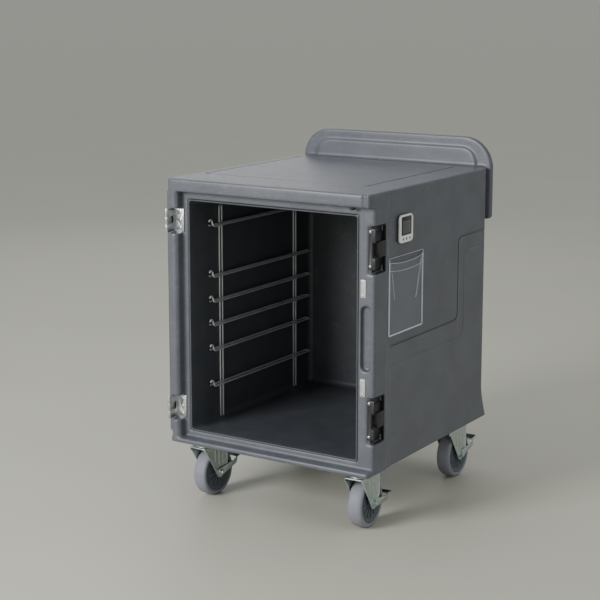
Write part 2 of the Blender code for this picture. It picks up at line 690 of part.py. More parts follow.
# ---------------------------------------------------------------- hinges
def make_hinges(root, door):
    """Make each hinge: a cabinet leaf with two knuckles, a door leaf with one, and a pin."""
    knuckle = (HINGE_HEIGHT - 4 * MM) / 3
    axis = Vector((HINGE_X, HINGE_Y, 0))
    for level, centre in HINGE_CENTRES.items():
        bottom = centre - HINGE_HEIGHT / 2 + 2 * MM
        edges = [bottom + knuckle * index for index in range(4)]
        back = STILE - GAP
        seam = 0.2 * MM
        leaf = block((-HALF, back - HINGE_SHEET, edges[0]), (-HALF + COLUMN_WIDTH + 4 * MM, back, edges[3]))
        joins = []
        bores = []
        for low, high in ((edges[0], edges[1] - GAP), (edges[2] + GAP, edges[3])):
            joins.append(block((-HALF + seam, HINGE_Y, low + seam),
                               (-HALF + HINGE_SHEET, back - seam, high - seam)))
            joins.append(rod(axis + Vector((0, 0, low)), axis + Vector((0, 0, high)), HINGE_TUBE, 20))
        bores.append(rod(axis + Vector((0, 0, edges[0] - SKIN)), axis + Vector((0, 0, edges[3] + SKIN)),
                         HINGE_PIN + GAP, 16))
        for offset in (-24 * MM, 0, 24 * MM):
            joins.append(rod((-HALF + COLUMN_WIDTH - 8 * MM, back - 1 * MM, centre + offset),
                             (-HALF + COLUMN_WIDTH - 8 * MM, back - HINGE_SHEET - 2 * MM, centre + offset),
                             4 * MM, 12))
        piece(f"hinge_cabinet_leaf_{level}", leaf, "stainless", root, add=joins, cut=bores)

        low = edges[1] + GAP
        high = edges[2] - GAP
        arm = block((HINGE_X + 2 * MM, HINGE_Y + 0.8 * MM, low),
                    (DOOR_LEFT + 34 * MM, HINGE_Y + 0.8 * MM + HINGE_SHEET, high))
        tube = rod(axis + Vector((0, 0, low)), axis + Vector((0, 0, high)), HINGE_TUBE, 20)
        bore = rod(axis + Vector((0, 0, low - SKIN)), axis + Vector((0, 0, high + SKIN)),
                   HINGE_PIN + GAP, 16)
        piece(f"hinge_door_leaf_{level}", arm, "stainless", door, add=[tube], cut=[bore], shift=axis)

        pin = rod(axis + Vector((0, 0, edges[0] - 0.5 * MM)), axis + Vector((0, 0, edges[3] + GAP)),
                  HINGE_PIN, 16)
        head = rod(axis + Vector((0, 0, edges[3] + GAP)), axis + Vector((0, 0, edges[3] + 1.7 * MM)),
                   HINGE_TUBE - 1 * MM, 16)
        piece(f"hinge_pin_{level}", pin, "stainless", root, add=[head])


# ---------------------------------------------------------------- door
def make_door(root):
    """Make the door folded back along the left side, on an empty at its hinge axis."""
    axis = Vector((HINGE_X, HINGE_Y, 0))
    door = make_empty("door_axis", axis, root, math.radians(90))
    shell = slab(
        rounded_outline((DOOR_LEFT, DOOR_BOTTOM), (DOOR_RIGHT, DOOR_TOP), [DOOR_CORNER] * 4, 3),
        HINGE_Y, DOOR_THICKNESS, "Y")
    foam_low = (DOOR_LEFT + DOOR_SKIN * 2, DOOR_SKIN, DOOR_BOTTOM + DOOR_SKIN * 2)
    foam_high = (DOOR_RIGHT - DOOR_EDGE_SOLID, DOOR_THICKNESS, DOOR_TOP - DOOR_SKIN * 2)
    notch_left = HALF - BUMPER_FROM_RIGHT - BUMPER_RADIUS - 2 * MM
    notch_floor = BROW_UNDER - BUMPER_DROP - 4 * MM
    step_x = notch_left - DOOR_SKIN
    step_z = notch_floor - DOOR_SKIN
    hollow = block(foam_low, (step_x, DOOR_THICKNESS + SKIN, foam_high[2]))
    edge_hollow = block((step_x - SKIN, foam_low[1], foam_low[2]),
                        (foam_high[0], DOOR_THICKNESS + SKIN, step_z))
    notch = block((notch_left, HINGE_Y - SKIN, notch_floor),
                  (notch_left + 2 * BUMPER_RADIUS + 4 * MM, DOOR_THICKNESS + SKIN, DOOR_TOP + SKIN))
    cuts = [hollow, edge_hollow, notch]
    for centre in LATCH_CENTRES.values():
        cuts.append(block((DOOR_RIGHT - LATCH_WIDTH - 2 * MM, HINGE_Y - SKIN,
                           centre - LATCH_HEIGHT / 2 - 1 * MM),
                          (DOOR_RIGHT + SKIN, LATCH_DEPTH + 1 * MM, centre + LATCH_HEIGHT / 2 + 1 * MM)))
        cuts.append(block((ARM_INNER - 2 * MM, HINGE_Y - SKIN, centre - LATCH_ARM / 2 - 1.5 * MM),
                          (DOOR_RIGHT + SKIN, DOOR_THICKNESS + SKIN, centre + LATCH_ARM / 2 + 1.5 * MM)))
    knuckle = (HINGE_HEIGHT - 4 * MM) / 3
    for centre in HINGE_CENTRES.values():
        cuts.append(block((DOOR_LEFT - SKIN, HINGE_Y - SKIN, centre - knuckle / 2),
                          (DOOR_LEFT + 35 * MM, HINGE_Y + 0.8 * MM + HINGE_SHEET + GAP,
                           centre + knuckle / 2)))
    piece("door_shell", shell, "polyethylene", door, cut=cuts, shift=axis)

    foam_start = Vector((foam_low[0] + GAP, foam_low[1] + GAP, foam_low[2] + GAP))
    foam = block(foam_start, (step_x - GAP, foam_high[1], foam_high[2] - GAP))
    edge_foam = block((step_x - SKIN, foam_start.y, foam_start.z),
                      (foam_high[0] - GAP, foam_high[1], step_z - GAP))
    plug_foam = slab(
        rounded_outline((-PLUG_HALF + PANEL_SHEET + GAP, PLUG_BOTTOM + PANEL_SHEET + GAP),
                        (min(PLUG_HALF - PANEL_SHEET, foam_high[0]) - GAP, PLUG_TOP - PANEL_SHEET - GAP),
                        [PLUG_CORNER - PANEL_SHEET - GAP] * 4, 3),
        DOOR_THICKNESS - SKIN, PLUG_BACK - PANEL_SHEET - GAP, "Y")
    hinge_room = []
    for centre in HINGE_CENTRES.values():
        hinge_room.append(block((DOOR_LEFT, HINGE_Y, centre - knuckle / 2 - GAP),
                                (DOOR_LEFT + 35 * MM + GAP, HINGE_Y + HINGE_SHEET + SKIN + 1 * MM,
                                 centre + knuckle / 2 + GAP)))
    piece("door_foam", foam, "foam", door, add=[edge_foam, plug_foam], cut=hinge_room, shift=axis)

    sheet = slab(
        rounded_outline((DOOR_LEFT + 4 * MM, DOOR_BOTTOM + 4 * MM),
                        (POCKET_FLOOR - STRIKE_REACH, DOOR_TOP - 4 * MM), [6 * MM] * 4, 3),
        DOOR_THICKNESS + GAP, SHEET_BACK, "Y")
    plug = slab(rounded_outline((-PLUG_HALF, PLUG_BOTTOM), (PLUG_HALF, PLUG_TOP), [PLUG_CORNER] * 4, 3),
                SHEET_BACK - PANEL_SHEET / 2, PLUG_BACK, "Y")
    space = slab(rounded_outline((-PLUG_HALF + PANEL_SHEET, PLUG_BOTTOM + PANEL_SHEET),
                                 (PLUG_HALF - PANEL_SHEET, PLUG_TOP - PANEL_SHEET),
                                 [PLUG_CORNER - PANEL_SHEET] * 4, 3),
                 DOOR_THICKNESS - SKIN, PLUG_BACK - PANEL_SHEET, "Y")
    piece("door_inner_panel", sheet, "liner", door, add=[plug], cut=[space], shift=axis)

    gasket = slab(
        rounded_outline((-PLUG_HALF - GAP - GASKET_WIDTH, PLUG_BOTTOM - GAP - GASKET_WIDTH),
                        (PLUG_HALF + GAP + GASKET_WIDTH, PLUG_TOP + GAP + GASKET_WIDTH), [10 * MM] * 4, 3),
        SHEET_BACK + GAP, STILE - GAP, "Y")
    gasket_hole = slab(rounded_outline((-PLUG_HALF - GAP, PLUG_BOTTOM - GAP),
                                       (PLUG_HALF + GAP, PLUG_TOP + GAP), [PLUG_CORNER] * 4, 3),
                       SHEET_BACK - SKIN, STILE + SKIN, "Y")
    piece("door_gasket", gasket, "gasket", door, cut=[gasket_hole], shift=axis)
    make_latches(door, axis)
    return door


def make_latches(door, axis):
    """Make each latch: a base in the door's pocket and a lever whose arm enters the strike."""
    for level, centre in LATCH_CENTRES.items():
        inner = DOOR_RIGHT - LATCH_WIDTH
        base = block((inner - 1 * MM, LATCH_DEPTH - 2 * MM, centre - LATCH_HEIGHT / 2),
                     (ARM_INNER - 3 * MM, LATCH_DEPTH + 1 * MM - GAP, centre + LATCH_HEIGHT / 2))
        pivot = Vector((inner + 14 * MM, 7 * MM, centre))
        reach = Vector((0, 0, LATCH_HEIGHT / 2))
        lugs = []
        for sign in (-1, 1):
            lug = sorted((centre + sign * (LATCH_HEIGHT / 2), centre + sign * (LATCH_HEIGHT / 2 - 4 * MM)))
            lugs.append(block((pivot.x - 5 * MM, 2 * MM, lug[0]), (pivot.x + 5 * MM, LATCH_DEPTH, lug[1])))
        hole = rod(pivot - reach - Vector((0, 0, 1 * MM)), pivot + reach + Vector((0, 0, 1 * MM)),
                   2 * MM + GAP, 12)
        piece(f"latch_base_{level}", base, "nylon", door, add=lugs, cut=[hole], shift=axis)

        lever_axis = make_empty(f"latch_{level}_axis", pivot - axis, door)
        half = LATCH_HEIGHT / 2 - 5 * MM
        paddle = block((inner + 1 * MM, 2 * MM, centre - half), (ARM_OUTER, 6 * MM, centre + half))
        barrel = rod(pivot - Vector((0, 0, half)), pivot + Vector((0, 0, half)), 4 * MM, 16)
        arm = block((ARM_INNER, 3 * MM, centre - LATCH_ARM / 2),
                    (ARM_OUTER, ARM_TIP, centre + LATCH_ARM / 2))
        tooth = block((POCKET_FLOOR + 3.9 * MM, TOOTH_START, centre - TOOTH_HEIGHT / 2),
                      (ARM_INNER + 1 * MM, ARM_TIP - 3 * MM, centre + TOOTH_HEIGHT / 2))
        pin = rod(pivot - reach, pivot + reach, 2 * MM, 12)
        piece(f"latch_lever_{level}", paddle, "nylon", lever_axis,
              add=[barrel, arm, tooth, pin], shift=pivot)


# ---------------------------------------------------------------- thermometer and sleeve
def make_thermometer(root):
    """Make the digital thermometer on the right side: housing, window, three buttons and probe."""
    base = SIDE_FACE + GAP
    face = base + THERMO_PROUD
    centre_y = THERMO_FRONT + THERMO_WIDTH / 2
    centre_z = DECK - THERMO_BELOW_DECK - THERMO_HEIGHT / 2
    housing = slab(
        rounded_outline((centre_y - THERMO_WIDTH / 2, centre_z - THERMO_HEIGHT / 2),
                        (centre_y + THERMO_WIDTH / 2, centre_z + THERMO_HEIGHT / 2), [THERMO_CORNER] * 4),
        base, face, "X")
    window_low = (centre_y - SCREEN_WIDTH / 2, centre_z - SCREEN_HEIGHT / 2 + SCREEN_RISE)
    window_high = (centre_y + SCREEN_WIDTH / 2, centre_z + SCREEN_HEIGHT / 2 + SCREEN_RISE)
    seat = block((face - 3 * MM - GAP, window_low[0] - GAP, window_low[1] - GAP),
                 (face + SKIN, window_high[0] + GAP, window_high[1] + GAP))
    cuts = [seat]
    button_places = [(centre_y + (index - 1) * BUTTON_PITCH, centre_z - BUTTON_DROP) for index in range(3)]
    for y, z in button_places:
        cuts.append(rod((face - 5 * MM, y, z), (face + SKIN, y, z), BUTTON_RADIUS + GAP, 20))
    cuts.append(rod((base - SKIN, centre_y, centre_z), (base + 4 * MM, centre_y, centre_z),
                    PROBE_RADIUS + GAP, 16))
    piece("thermometer_housing", housing, "white", root, cut=cuts, bevel=1 * MM)
    window = block((face - 3 * MM, *window_low), (face - 0.6 * MM, *window_high))
    piece("thermometer_window", window, "screen", root)
    for index, (y, z) in enumerate(button_places):
        place = Vector((face - 3 * MM, y, z))
        holder = make_empty(f"button_{index + 1}_axis", place, root)
        cap = rod(place, place + Vector((2.6 * MM, 0, 0)), BUTTON_RADIUS, 20)
        piece(f"thermometer_button_{index + 1}", cap, "nylon", holder, shift=place)
    probe = rod((base + 3 * MM, centre_y, centre_z), (base + 3 * MM - PROBE_LENGTH, centre_y, centre_z),
                PROBE_RADIUS, 12)
    piece("thermometer_probe", probe, "stainless", root)


def make_sleeve(root):
    """Make the clear document sleeve, open at its top."""
    base = SIDE_FACE + GAP
    top = DECK - SLEEVE_BELOW_DECK
    low = (SLEEVE_FRONT, top - SLEEVE_HEIGHT)
    high = (SLEEVE_FRONT + SLEEVE_WIDTH, top)
    outer = slab(rounded_outline(low, high, [6 * MM] * 4, 3),
                 base, base + SLEEVE_SPACE + 2 * SLEEVE_SHEET, "X")
    space = block((base + SLEEVE_SHEET, low[0] + 4 * MM, low[1] + 4 * MM),
                  (base + SLEEVE_SHEET + SLEEVE_SPACE, high[0] - 4 * MM, high[1] + SKIN))
    mouth = block((base + SLEEVE_SHEET, low[0] - SKIN, high[1] - 16 * MM),
                  (base + 3 * SLEEVE_SPACE, high[0] + SKIN, high[1] + SKIN))
    piece("document_sleeve", outer, "clear", root, cut=[space, mouth])


# ---------------------------------------------------------------- wire rails
def rail_path(side, z):
    """Return one runner: front stop, inner bar, rear return and outer bar."""
    inner = side * (LINER_INSIDE - RAIL_REACH)
    outer = side * (LINER_INSIDE - 2 * WIRE - GAP)
    front = STILE + RAIL_FRONT
    rear = front + RAIL_LENGTH
    hook = RAIL_HOOK
    return [(outer, front, z), (outer, rear, z), (inner, rear, z), (inner, front, z),
            (inner, front - hook * 0.25, z + hook * 0.2), (inner, front - hook * 0.5, z + hook * 0.75),
            (inner, front - hook * 0.8, z + hook), (inner, front - hook * 1.1, z + hook * 0.7)]


def make_rails(root):
    """Make the two lift-out wire rail sets, each one welded grid."""
    for name, side in SIDES.items():
        x = side * (LINER_INSIDE - WIRE - GAP)
        bottom = LINER_FLOOR + GAP
        top = bottom + UPRIGHT_HEIGHT
        meshes = []
        for start in (UPRIGHT_FRONT, UPRIGHT_FRONT + UPRIGHT_SPACING):
            y = STILE + start
            far = y + UPRIGHT_PAIR
            loop = [(x, y, bottom + WIRE), (x, y, top - WIRE), (x, far, top - WIRE), (x, far, bottom + WIRE)]
            meshes.append(wire(loop, cyclic=True))
        for level in RAIL_LEVELS:
            meshes.append(wire(rail_path(side, LINER_FLOOR + level)))
        piece(f"{name}_rail_set", meshes[0], "stainless", root, add=meshes[1:])


# ---------------------------------------------------------------- casters
def fork_leg(low, high):
    """Return one side plate of a fork between two X values, in the fork's own frame."""
    axle_z = WHEEL_RADIUS - SWIVEL_Z
    back = CASTER_TRAIL + LEG_BEHIND_AXLE
    outline = [(-LEG_AHEAD_OF_SWIVEL, -CROWN_HEIGHT), (back, -CROWN_HEIGHT), (back, axle_z + LEG_TIP)]
    outline += arc((CASTER_TRAIL, axle_z), LEG_TIP, -30, -160, 8)
    return slab(outline, low, high, "X")


def make_caster(root, place, x, y, heading):
    """Make one caster: top plate, fork, axle, wheel tread, wheel hub and brake pedal."""
    top = UNDERSIDE - GAP
    plate = slab(
        rounded_outline((x - PLATE_WIDTH / 2, y - PLATE_LENGTH / 2),
                        (x + PLATE_WIDTH / 2, y + PLATE_LENGTH / 2), [8 * MM] * 4, 3),
        top - PLATE_SHEET, top)
    race = rod((x, y, top - 1 * MM), (x, y, SWIVEL_Z + GAP), RACE_RADIUS, 24)
    bolts = []
    for dx in (-1, 1):
        for dy in (-1, 1):
            bolt_x = x + dx * (PLATE_WIDTH / 2 - 10 * MM)
            bolt_y = y + dy * (PLATE_LENGTH / 2 - 11 * MM)
            bolts.append(rod((bolt_x, bolt_y, top - 1 * MM), (bolt_x, bolt_y, top - PLATE_SHEET - 5 * MM),
                             6.5 * MM, 6))
    piece(f"caster_{place}_plate", plate, "zinc", root, add=[race] + bolts)

    swivel = make_empty(f"caster_{place}_swivel", (x, y, SWIVEL_Z), root, math.radians(heading - 90))
    inner = WHEEL_WIDTH / 2 + FORK_SIDE_GAP
    outer = inner + FORK_SHEET
    axle_z = WHEEL_RADIUS - SWIVEL_Z
    crown = rod((0, 0, 0), (0, 0, -CROWN_HEIGHT), RACE_RADIUS + 4 * MM, 24)
    legs = [fork_leg(inner, outer), fork_leg(-outer, -inner)]
    bridge = block((-outer, -LEG_AHEAD_OF_SWIVEL, -CROWN_HEIGHT - 0.5 * MM),
                   (outer, CASTER_TRAIL + LEG_BEHIND_AXLE, -CROWN_HEIGHT + FORK_SHEET))
    axle_hole = rod((-outer - SKIN, CASTER_TRAIL, axle_z), (outer + SKIN, CASTER_TRAIL, axle_z),
                    AXLE_RADIUS + GAP, 20)
    piece(f"caster_{place}_fork", crown, "zinc", swivel, add=[bridge] + legs, cut=[axle_hole])

    axle_axis = make_empty(f"caster_{place}_axle_axis", (0, CASTER_TRAIL, axle_z), swivel)
    right = outer + PEDAL_SHEET + 2 * GAP
    left = -outer - GAP
    shaft = rod((left - 3 * MM, 0, 0), (right + 3 * MM, 0, 0), AXLE_RADIUS, 20)
    heads = [rod((right, 0, 0), (right + 6 * MM, 0, 0), 9 * MM, 6),
             rod((left, 0, 0), (left - 6 * MM, 0, 0), 9 * MM, 6)]
    piece(f"caster_{place}_axle", shaft, "zinc", axle_axis, add=heads)

    half = WHEEL_WIDTH / 2
    rim_radius = WHEEL_RADIUS - TREAD
    crown_side = 7 * MM
    tread_profile = [(rim_radius + GAP, half - 2 * MM), (WHEEL_RADIUS - crown_side, half)]
    tread_profile += [(WHEEL_RADIUS - crown_side + crown_side * math.sin(math.radians(a)),
                       half - crown_side * 0.9 * (1 - math.cos(math.radians(a)))) for a in (30, 60, 90)]
    mirrored = [(radius, -x_side) for radius, x_side in reversed(tread_profile)]
    piece(f"caster_{place}_tread", turned(tread_profile + mirrored, 32), "tread", axle_axis)
    hub_profile = [(AXLE_RADIUS + GAP, half + 2 * MM), (15 * MM, half + 2 * MM), (18 * MM, half - 5 * MM),
                   (rim_radius - 10 * MM, half - 5 * MM), (rim_radius - 7 * MM, half - 2 * MM),
                   (rim_radius, half - 2 * MM)]
    hub_mirror = [(radius, -x_side) for radius, x_side in reversed(hub_profile)]
    piece(f"caster_{place}_hub", turned(hub_profile + hub_mirror, 32), "hub", axle_axis)
    make_pedal(axle_axis, place, outer + GAP)


def make_pedal(axle_axis, place, inside):
    """Make a brake pedal: an arm on the axle outside the fork, with a foot plate behind the wheel."""
    holder = make_empty(f"caster_{place}_pedal_axis", (0, 0, 0), axle_axis)
    holder.rotation_euler = (math.radians(PEDAL_LIFTS[place]), 0, 0)
    boss = 13 * MM
    foot_start = WHEEL_RADIUS + PEDAL_CLEARANCE
    outline = arc((0, 0), boss, 90, 270, 8)
    outline += [(foot_start - 8 * MM, -boss * 0.6), (foot_start + 2 * MM, PEDAL_STEP - PEDAL_SHEET),
                (PEDAL_REACH - 1 * MM, PEDAL_STEP - PEDAL_SHEET), (PEDAL_REACH - 1 * MM, PEDAL_STEP - 1 * MM),
                (foot_start - 6 * MM, PEDAL_STEP - 1 * MM), (foot_start - 16 * MM, boss * 0.6)]
    arm = slab(outline, inside, inside + PEDAL_SHEET, "X")
    foot = block((-14 * MM, foot_start, FOOT_UNDER),
                 (inside + PEDAL_SHEET / 2, PEDAL_REACH, PEDAL_STEP))
    hole = rod((inside - SKIN, 0, 0), (inside + SKIN + PEDAL_SHEET, 0, 0), AXLE_RADIUS + GAP, 20)
    piece(f"caster_{place}_pedal", arm, "zinc", holder, add=[foot], cut=[hole])


# ---------------------------------------------------------------- the carrier
def main():
    """Build the carrier."""
    root = make_empty("carrier_root", -ORIGIN)
    make_cabinet(root)
    door = make_door(root)
    make_hinges(root, door)
    make_strikes(root)
    make_catches(root)
    make_bumper(root)
    make_thermometer(root)
    make_sleeve(root)
    make_rails(root)
    for place, (x, y) in CASTER_PLACES.items():
        make_caster(root, place, x, y, CASTER_HEADINGS[place])


main()
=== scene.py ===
"""Looks of the insulated food carrier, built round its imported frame.

The cabinet stands on four casters with its door folded back along its left side. Every sub-assembly is a
class: it holds its own sizes, in millimetres, and builds the pieces that ride on the frame's bodies.
"""
import logging
import math
from dataclasses import dataclass, field
from enum import Enum
from typing import Callable, Iterable, Sequence

import bmesh
import bpy
from mathutils import Matrix, Vector


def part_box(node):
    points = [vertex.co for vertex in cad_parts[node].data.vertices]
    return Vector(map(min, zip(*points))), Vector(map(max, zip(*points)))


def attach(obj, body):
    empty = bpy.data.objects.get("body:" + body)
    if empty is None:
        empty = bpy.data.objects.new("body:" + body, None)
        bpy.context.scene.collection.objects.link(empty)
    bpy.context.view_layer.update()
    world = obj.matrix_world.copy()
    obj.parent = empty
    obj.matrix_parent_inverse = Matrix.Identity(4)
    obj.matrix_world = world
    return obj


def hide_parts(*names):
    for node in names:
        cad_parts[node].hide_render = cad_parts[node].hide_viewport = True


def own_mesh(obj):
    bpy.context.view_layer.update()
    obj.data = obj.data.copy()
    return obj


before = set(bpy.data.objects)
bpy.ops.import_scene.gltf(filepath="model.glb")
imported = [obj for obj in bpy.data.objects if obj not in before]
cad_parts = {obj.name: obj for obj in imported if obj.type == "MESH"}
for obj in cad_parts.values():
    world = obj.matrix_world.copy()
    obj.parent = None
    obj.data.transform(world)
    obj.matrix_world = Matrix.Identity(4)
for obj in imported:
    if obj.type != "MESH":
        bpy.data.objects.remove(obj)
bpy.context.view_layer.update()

MM = 0.001
LOG = logging.getLogger("carrier")
Point = tuple[float, float, float]


class Axis(Enum):
    """The direction that a flat outline is thickened along."""

    X = 0
    Y = 1
    Z = 2


class Side(Enum):
    """Which side of the cabinet a piece belongs to."""

    LEFT = -1
    RIGHT = 1


class Pattern(Enum):
    """The texture that drives one layer of a finish."""

    NOISE = "ShaderNodeTexNoise"
    CELLS = "ShaderNodeTexVoronoi"


# ---------------------------------------------------------------- finishes
def linear(colour: str) -> tuple[float, float, float, float]:
    """Turn an sRGB hex colour into linear values.

    Args:
        colour: Six hex digits, such as "6a6d72".

    Returns:
        Red, green, blue and alpha, linear.
    """
    values = [int(colour[index:index + 2], 16) / 255 for index in (0, 2, 4)]
    return (*(v / 12.92 if v <= 0.04045 else ((v + 0.055) / 1.055) ** 2.4 for v in values), 1.0)


def add_node(tree: bpy.types.NodeTree, kind: str, links: dict[object, object] | None = None,
             inputs: dict[object, object] | None = None, **settings: object) -> bpy.types.Node:
    """Add a node, set it up and link its inputs.

    Args:
        tree: The tree that gets the node.
        kind: The node's type name.
        links: Output socket for each input, by the input's name or number.
        inputs: Constant for each input, by the input's name or number.
        **settings: The node's own properties.

    Returns:
        The node.
    """
    node = tree.nodes.new(kind)
    for key, value in settings.items():
        setattr(node, key, value)
    for key, value in (inputs or {}).items():
        node.inputs[key].default_value = value
    for key, socket in (links or {}).items():
        tree.links.new(socket, node.inputs[key])
    return node


@dataclass(frozen=True)
class Layer:
    """One variation of a finish: a pattern that tints, dulls and raises the surface where it is strong."""

    size_mm: float
    colour: str
    amount: float
    low: float = 0.4
    high: float = 0.6
    rough: float = 0.0
    height_mm: float = 0.0
    stretch: Point = (1.0, 1.0, 1.0)
    pattern: Pattern = Pattern.NOISE
    detail: float = 3.0


@dataclass(frozen=True)
class Finish:
    """A real material: its colour, its gloss and the layers that vary them."""

    name: str
    colour: str
    roughness: float
    metallic: float = 0.0
    ior: float = 1.5
    layers: tuple[Layer, ...] = ()
    coat: float = 0.0
    alpha: float = 1.0
    specular: float = 0.5

    def build(self) -> bpy.types.Material:
        """Make the material's node tree.

        Returns:
            The material.
        """
        material = bpy.data.materials.new(self.name)
        material.use_nodes = True
        tree = material.node_tree
        tree.nodes.clear()
        place = add_node(tree, "ShaderNodeTexCoord").outputs["Object"]
        colour = None
        rough = None
        height = None
        for layer in self.layers:
            stretched = add_node(tree, "ShaderNodeMapping", {"Vector": place},
                                 {"Scale": tuple(1 / value for value in layer.stretch)})
            texture = add_node(tree, layer.pattern.value, {"Vector": stretched.outputs[0]},
                               {"Scale": 1 / (layer.size_mm * MM)})
            if layer.pattern is Pattern.NOISE:
                texture.inputs["Detail"].default_value = layer.detail
                value = texture.outputs["Fac"]
            else:
                value = texture.outputs["Distance"]
            ramp = add_node(tree, "ShaderNodeMapRange", {"Value": value},
                            {"From Min": layer.low, "From Max": layer.high}, interpolation_type="SMOOTHSTEP")
            share = add_node(tree, "ShaderNodeMath", {0: ramp.outputs[0]}, {1: layer.amount},
                             operation="MULTIPLY")
            mix = add_node(tree, "ShaderNodeMix", {0: share.outputs[0]}, {7: linear(layer.colour)},
                           data_type="RGBA")
            if colour is None:
                mix.inputs[6].default_value = linear(self.colour)
            else:
                tree.links.new(colour, mix.inputs[6])
            colour = mix.outputs[2]
            if layer.rough:
                change = add_node(tree, "ShaderNodeMath", {0: ramp.outputs[0]}, {1: layer.rough},
                                  operation="MULTIPLY")
                total = add_node(tree, "ShaderNodeMath", {0: change.outputs[0]}, {1: self.roughness},
                                 operation="ADD", use_clamp=True)
                if rough is not None:
                    tree.links.new(rough, total.inputs[1])
                rough = total.outputs[0]
            if layer.height_mm:
                bump = add_node(tree, "ShaderNodeBump", {"Height": ramp.outputs[0]},
                                {"Strength": 1.0, "Distance": layer.height_mm * MM})
                if height is not None:
                    tree.links.new(height, bump.inputs["Normal"])
                height = bump.outputs[0]
        shader = add_node(tree, "ShaderNodeBsdfPrincipled", inputs={
            "Base Color": linear(self.colour), "Roughness": self.roughness, "Metallic": self.metallic,
            "IOR": self.ior, "Coat Weight": self.coat, "Alpha": self.alpha,
            "Specular IOR Level": self.specular})
        for socket, name in ((colour, "Base Color"), (rough, "Roughness"), (height, "Normal")):
            if socket is not None:
                tree.links.new(socket, shader.inputs[name])
        add_node(tree, "ShaderNodeOutputMaterial", {"Surface": shader.outputs[0]})
        return material


# Rotationally moulded polyethylene: satin, faintly mottled from the powder, with an orange-peel skin,
# pale rubbed marks and fine dust.
POLYETHYLENE = Finish("rotomoulded_polyethylene", "53565e", 0.38, layers=(
    Layer(90, "62666d", 0.5, 0.3, 0.7),
    Layer(2.4, "6c7076", 0.3, 0.5, 0.72, rough=0.05, height_mm=0.05, detail=2),
    Layer(16, "4a4d53", 0.3, 0.45, 0.7, rough=-0.05),
    Layer(34, "83868a", 0.28, 0.6, 0.72, rough=0.12, stretch=(1, 1, 0.16), detail=5)))
# The liner is the same plastic, pressed smoother by its mould.
LINER = Finish("rotomoulded_polyethylene_liner", "3f4247", 0.42, layers=(
    Layer(70, "4a4d52", 0.5, 0.3, 0.7),
    Layer(2.8, "54575c", 0.3, 0.5, 0.72, rough=0.05, height_mm=0.05, detail=2),
    Layer(30, "6a6c6f", 0.22, 0.6, 0.72, rough=0.12, stretch=(1, 0.14, 1), detail=5)))
# Rigid polyurethane foam: matt, pale yellow, with open cells.
FOAM = Finish("polyurethane_foam", "d9c98c", 0.9, layers=(
    Layer(3, "b9a766", 0.6, 0.1, 0.5, height_mm=0.4, pattern=Pattern.CELLS),
    Layer(40, "e5d9a8", 0.4)))
# Glass-filled nylon: near black, fine grained, a little worn on its faces.
NYLON = Finish("glass_filled_nylon", "1c1d20", 0.42, layers=(
    Layer(1.6, "2b2c30", 0.5, 0.45, 0.7, height_mm=0.04, rough=0.08),
    Layer(18, "3a3b3f", 0.35, 0.55, 0.75, rough=0.1)))
# Brushed stainless steel: fine vertical drag lines and faint clouding.
STAINLESS = Finish("brushed_stainless_steel", "c3c6c8", 0.27, metallic=1.0, layers=(
    Layer(0.9, "a2a5a8", 0.5, 0.35, 0.7, rough=0.1, height_mm=0.01, stretch=(1, 1, 30)),
    Layer(24, "d4d6d6", 0.4, rough=0.06)))
# Drawn stainless wire, electropolished.
WIRE_STEEL = Finish("electropolished_stainless_wire", "dfe2e4", 0.34, metallic=0.6, layers=(
    Layer(1.4, "8f9396", 0.35, 0.45, 0.7, rough=0.12),
    Layer(20, "cfd2d3", 0.35, rough=0.05)))
# Bright zinc plating with a clear blue-green passivation and a fine spangle.
ZINC = Finish("zinc_plated_steel", "cddcda", 0.34, metallic=0.85, layers=(
    Layer(4, "98a6a2", 0.45, 0.15, 0.6, rough=0.07, pattern=Pattern.CELLS),
    Layer(22, "c6cbbf", 0.5, 0.35, 0.7, rough=-0.06),
    Layer(1.2, "8b918d", 0.3, 0.55, 0.75, rough=0.12, height_mm=0.02)))
# Thermoplastic rubber: soft grey tread, dull, with floor dust on its crown.
TREAD = Finish("thermoplastic_rubber", "7f818b", 0.55, layers=(
    Layer(1.5, "7d7f88", 0.4, 0.45, 0.7, rough=0.08, height_mm=0.04),
    Layer(20, "8c8b8c", 0.4, 0.5, 0.75, rough=0.1),
    Layer(9, "595b63", 0.3, 0.55, 0.75)))
# Moulded polypropylene hub: smooth, slightly glossy, blue-grey.
HUB = Finish("moulded_polypropylene", "4a5058", 0.4, layers=(
    Layer(1.8, "585e66", 0.35, 0.5, 0.7, rough=0.06, height_mm=0.03),
    Layer(24, "6a6e73", 0.3, 0.55, 0.75, rough=0.1)))
# Extruded silicone gasket: matt, pale grey, slightly dusty.
GASKET = Finish("silicone_rubber", "86888a", 0.6, layers=(
    Layer(1.4, "949698", 0.4, 0.45, 0.7, rough=0.06, height_mm=0.03),
    Layer(26, "6f7173", 0.35)))
# ABS housing: off-white, satin, fine spark texture.
ABS = Finish("moulded_abs", "eff1f1", 0.34, layers=(
    Layer(1.1, "e6e8e8", 0.5, 0.45, 0.7, rough=0.07, height_mm=0.025),
    Layer(20, "f4f5f5", 0.5)))
# The thermometer's body, behind its bezel, coloured dark grey as painted shade: it stands for the shadow line
# along the housing's side.
ABS_PAINTED_SHADE = Finish("moulded_abs_grey", "3c4046", 0.42, layers=(
    Layer(1.1, "33363b", 0.5, 0.45, 0.7, rough=0.07, height_mm=0.025),
    Layer(20, "464a51", 0.5)))
# The display's unlit field.
LCD = Finish("unlit_display", "4b5152", 0.2, layers=(Layer(9, "555b5c", 0.5),))
# Acrylic window over a dark display: glossy, with faint smears.
ACRYLIC = Finish("smoked_acrylic", "0b0c0e", 0.08, layers=(
    Layer(14, "15171a", 0.6, 0.4, 0.7, rough=0.08),), coat=0.4)
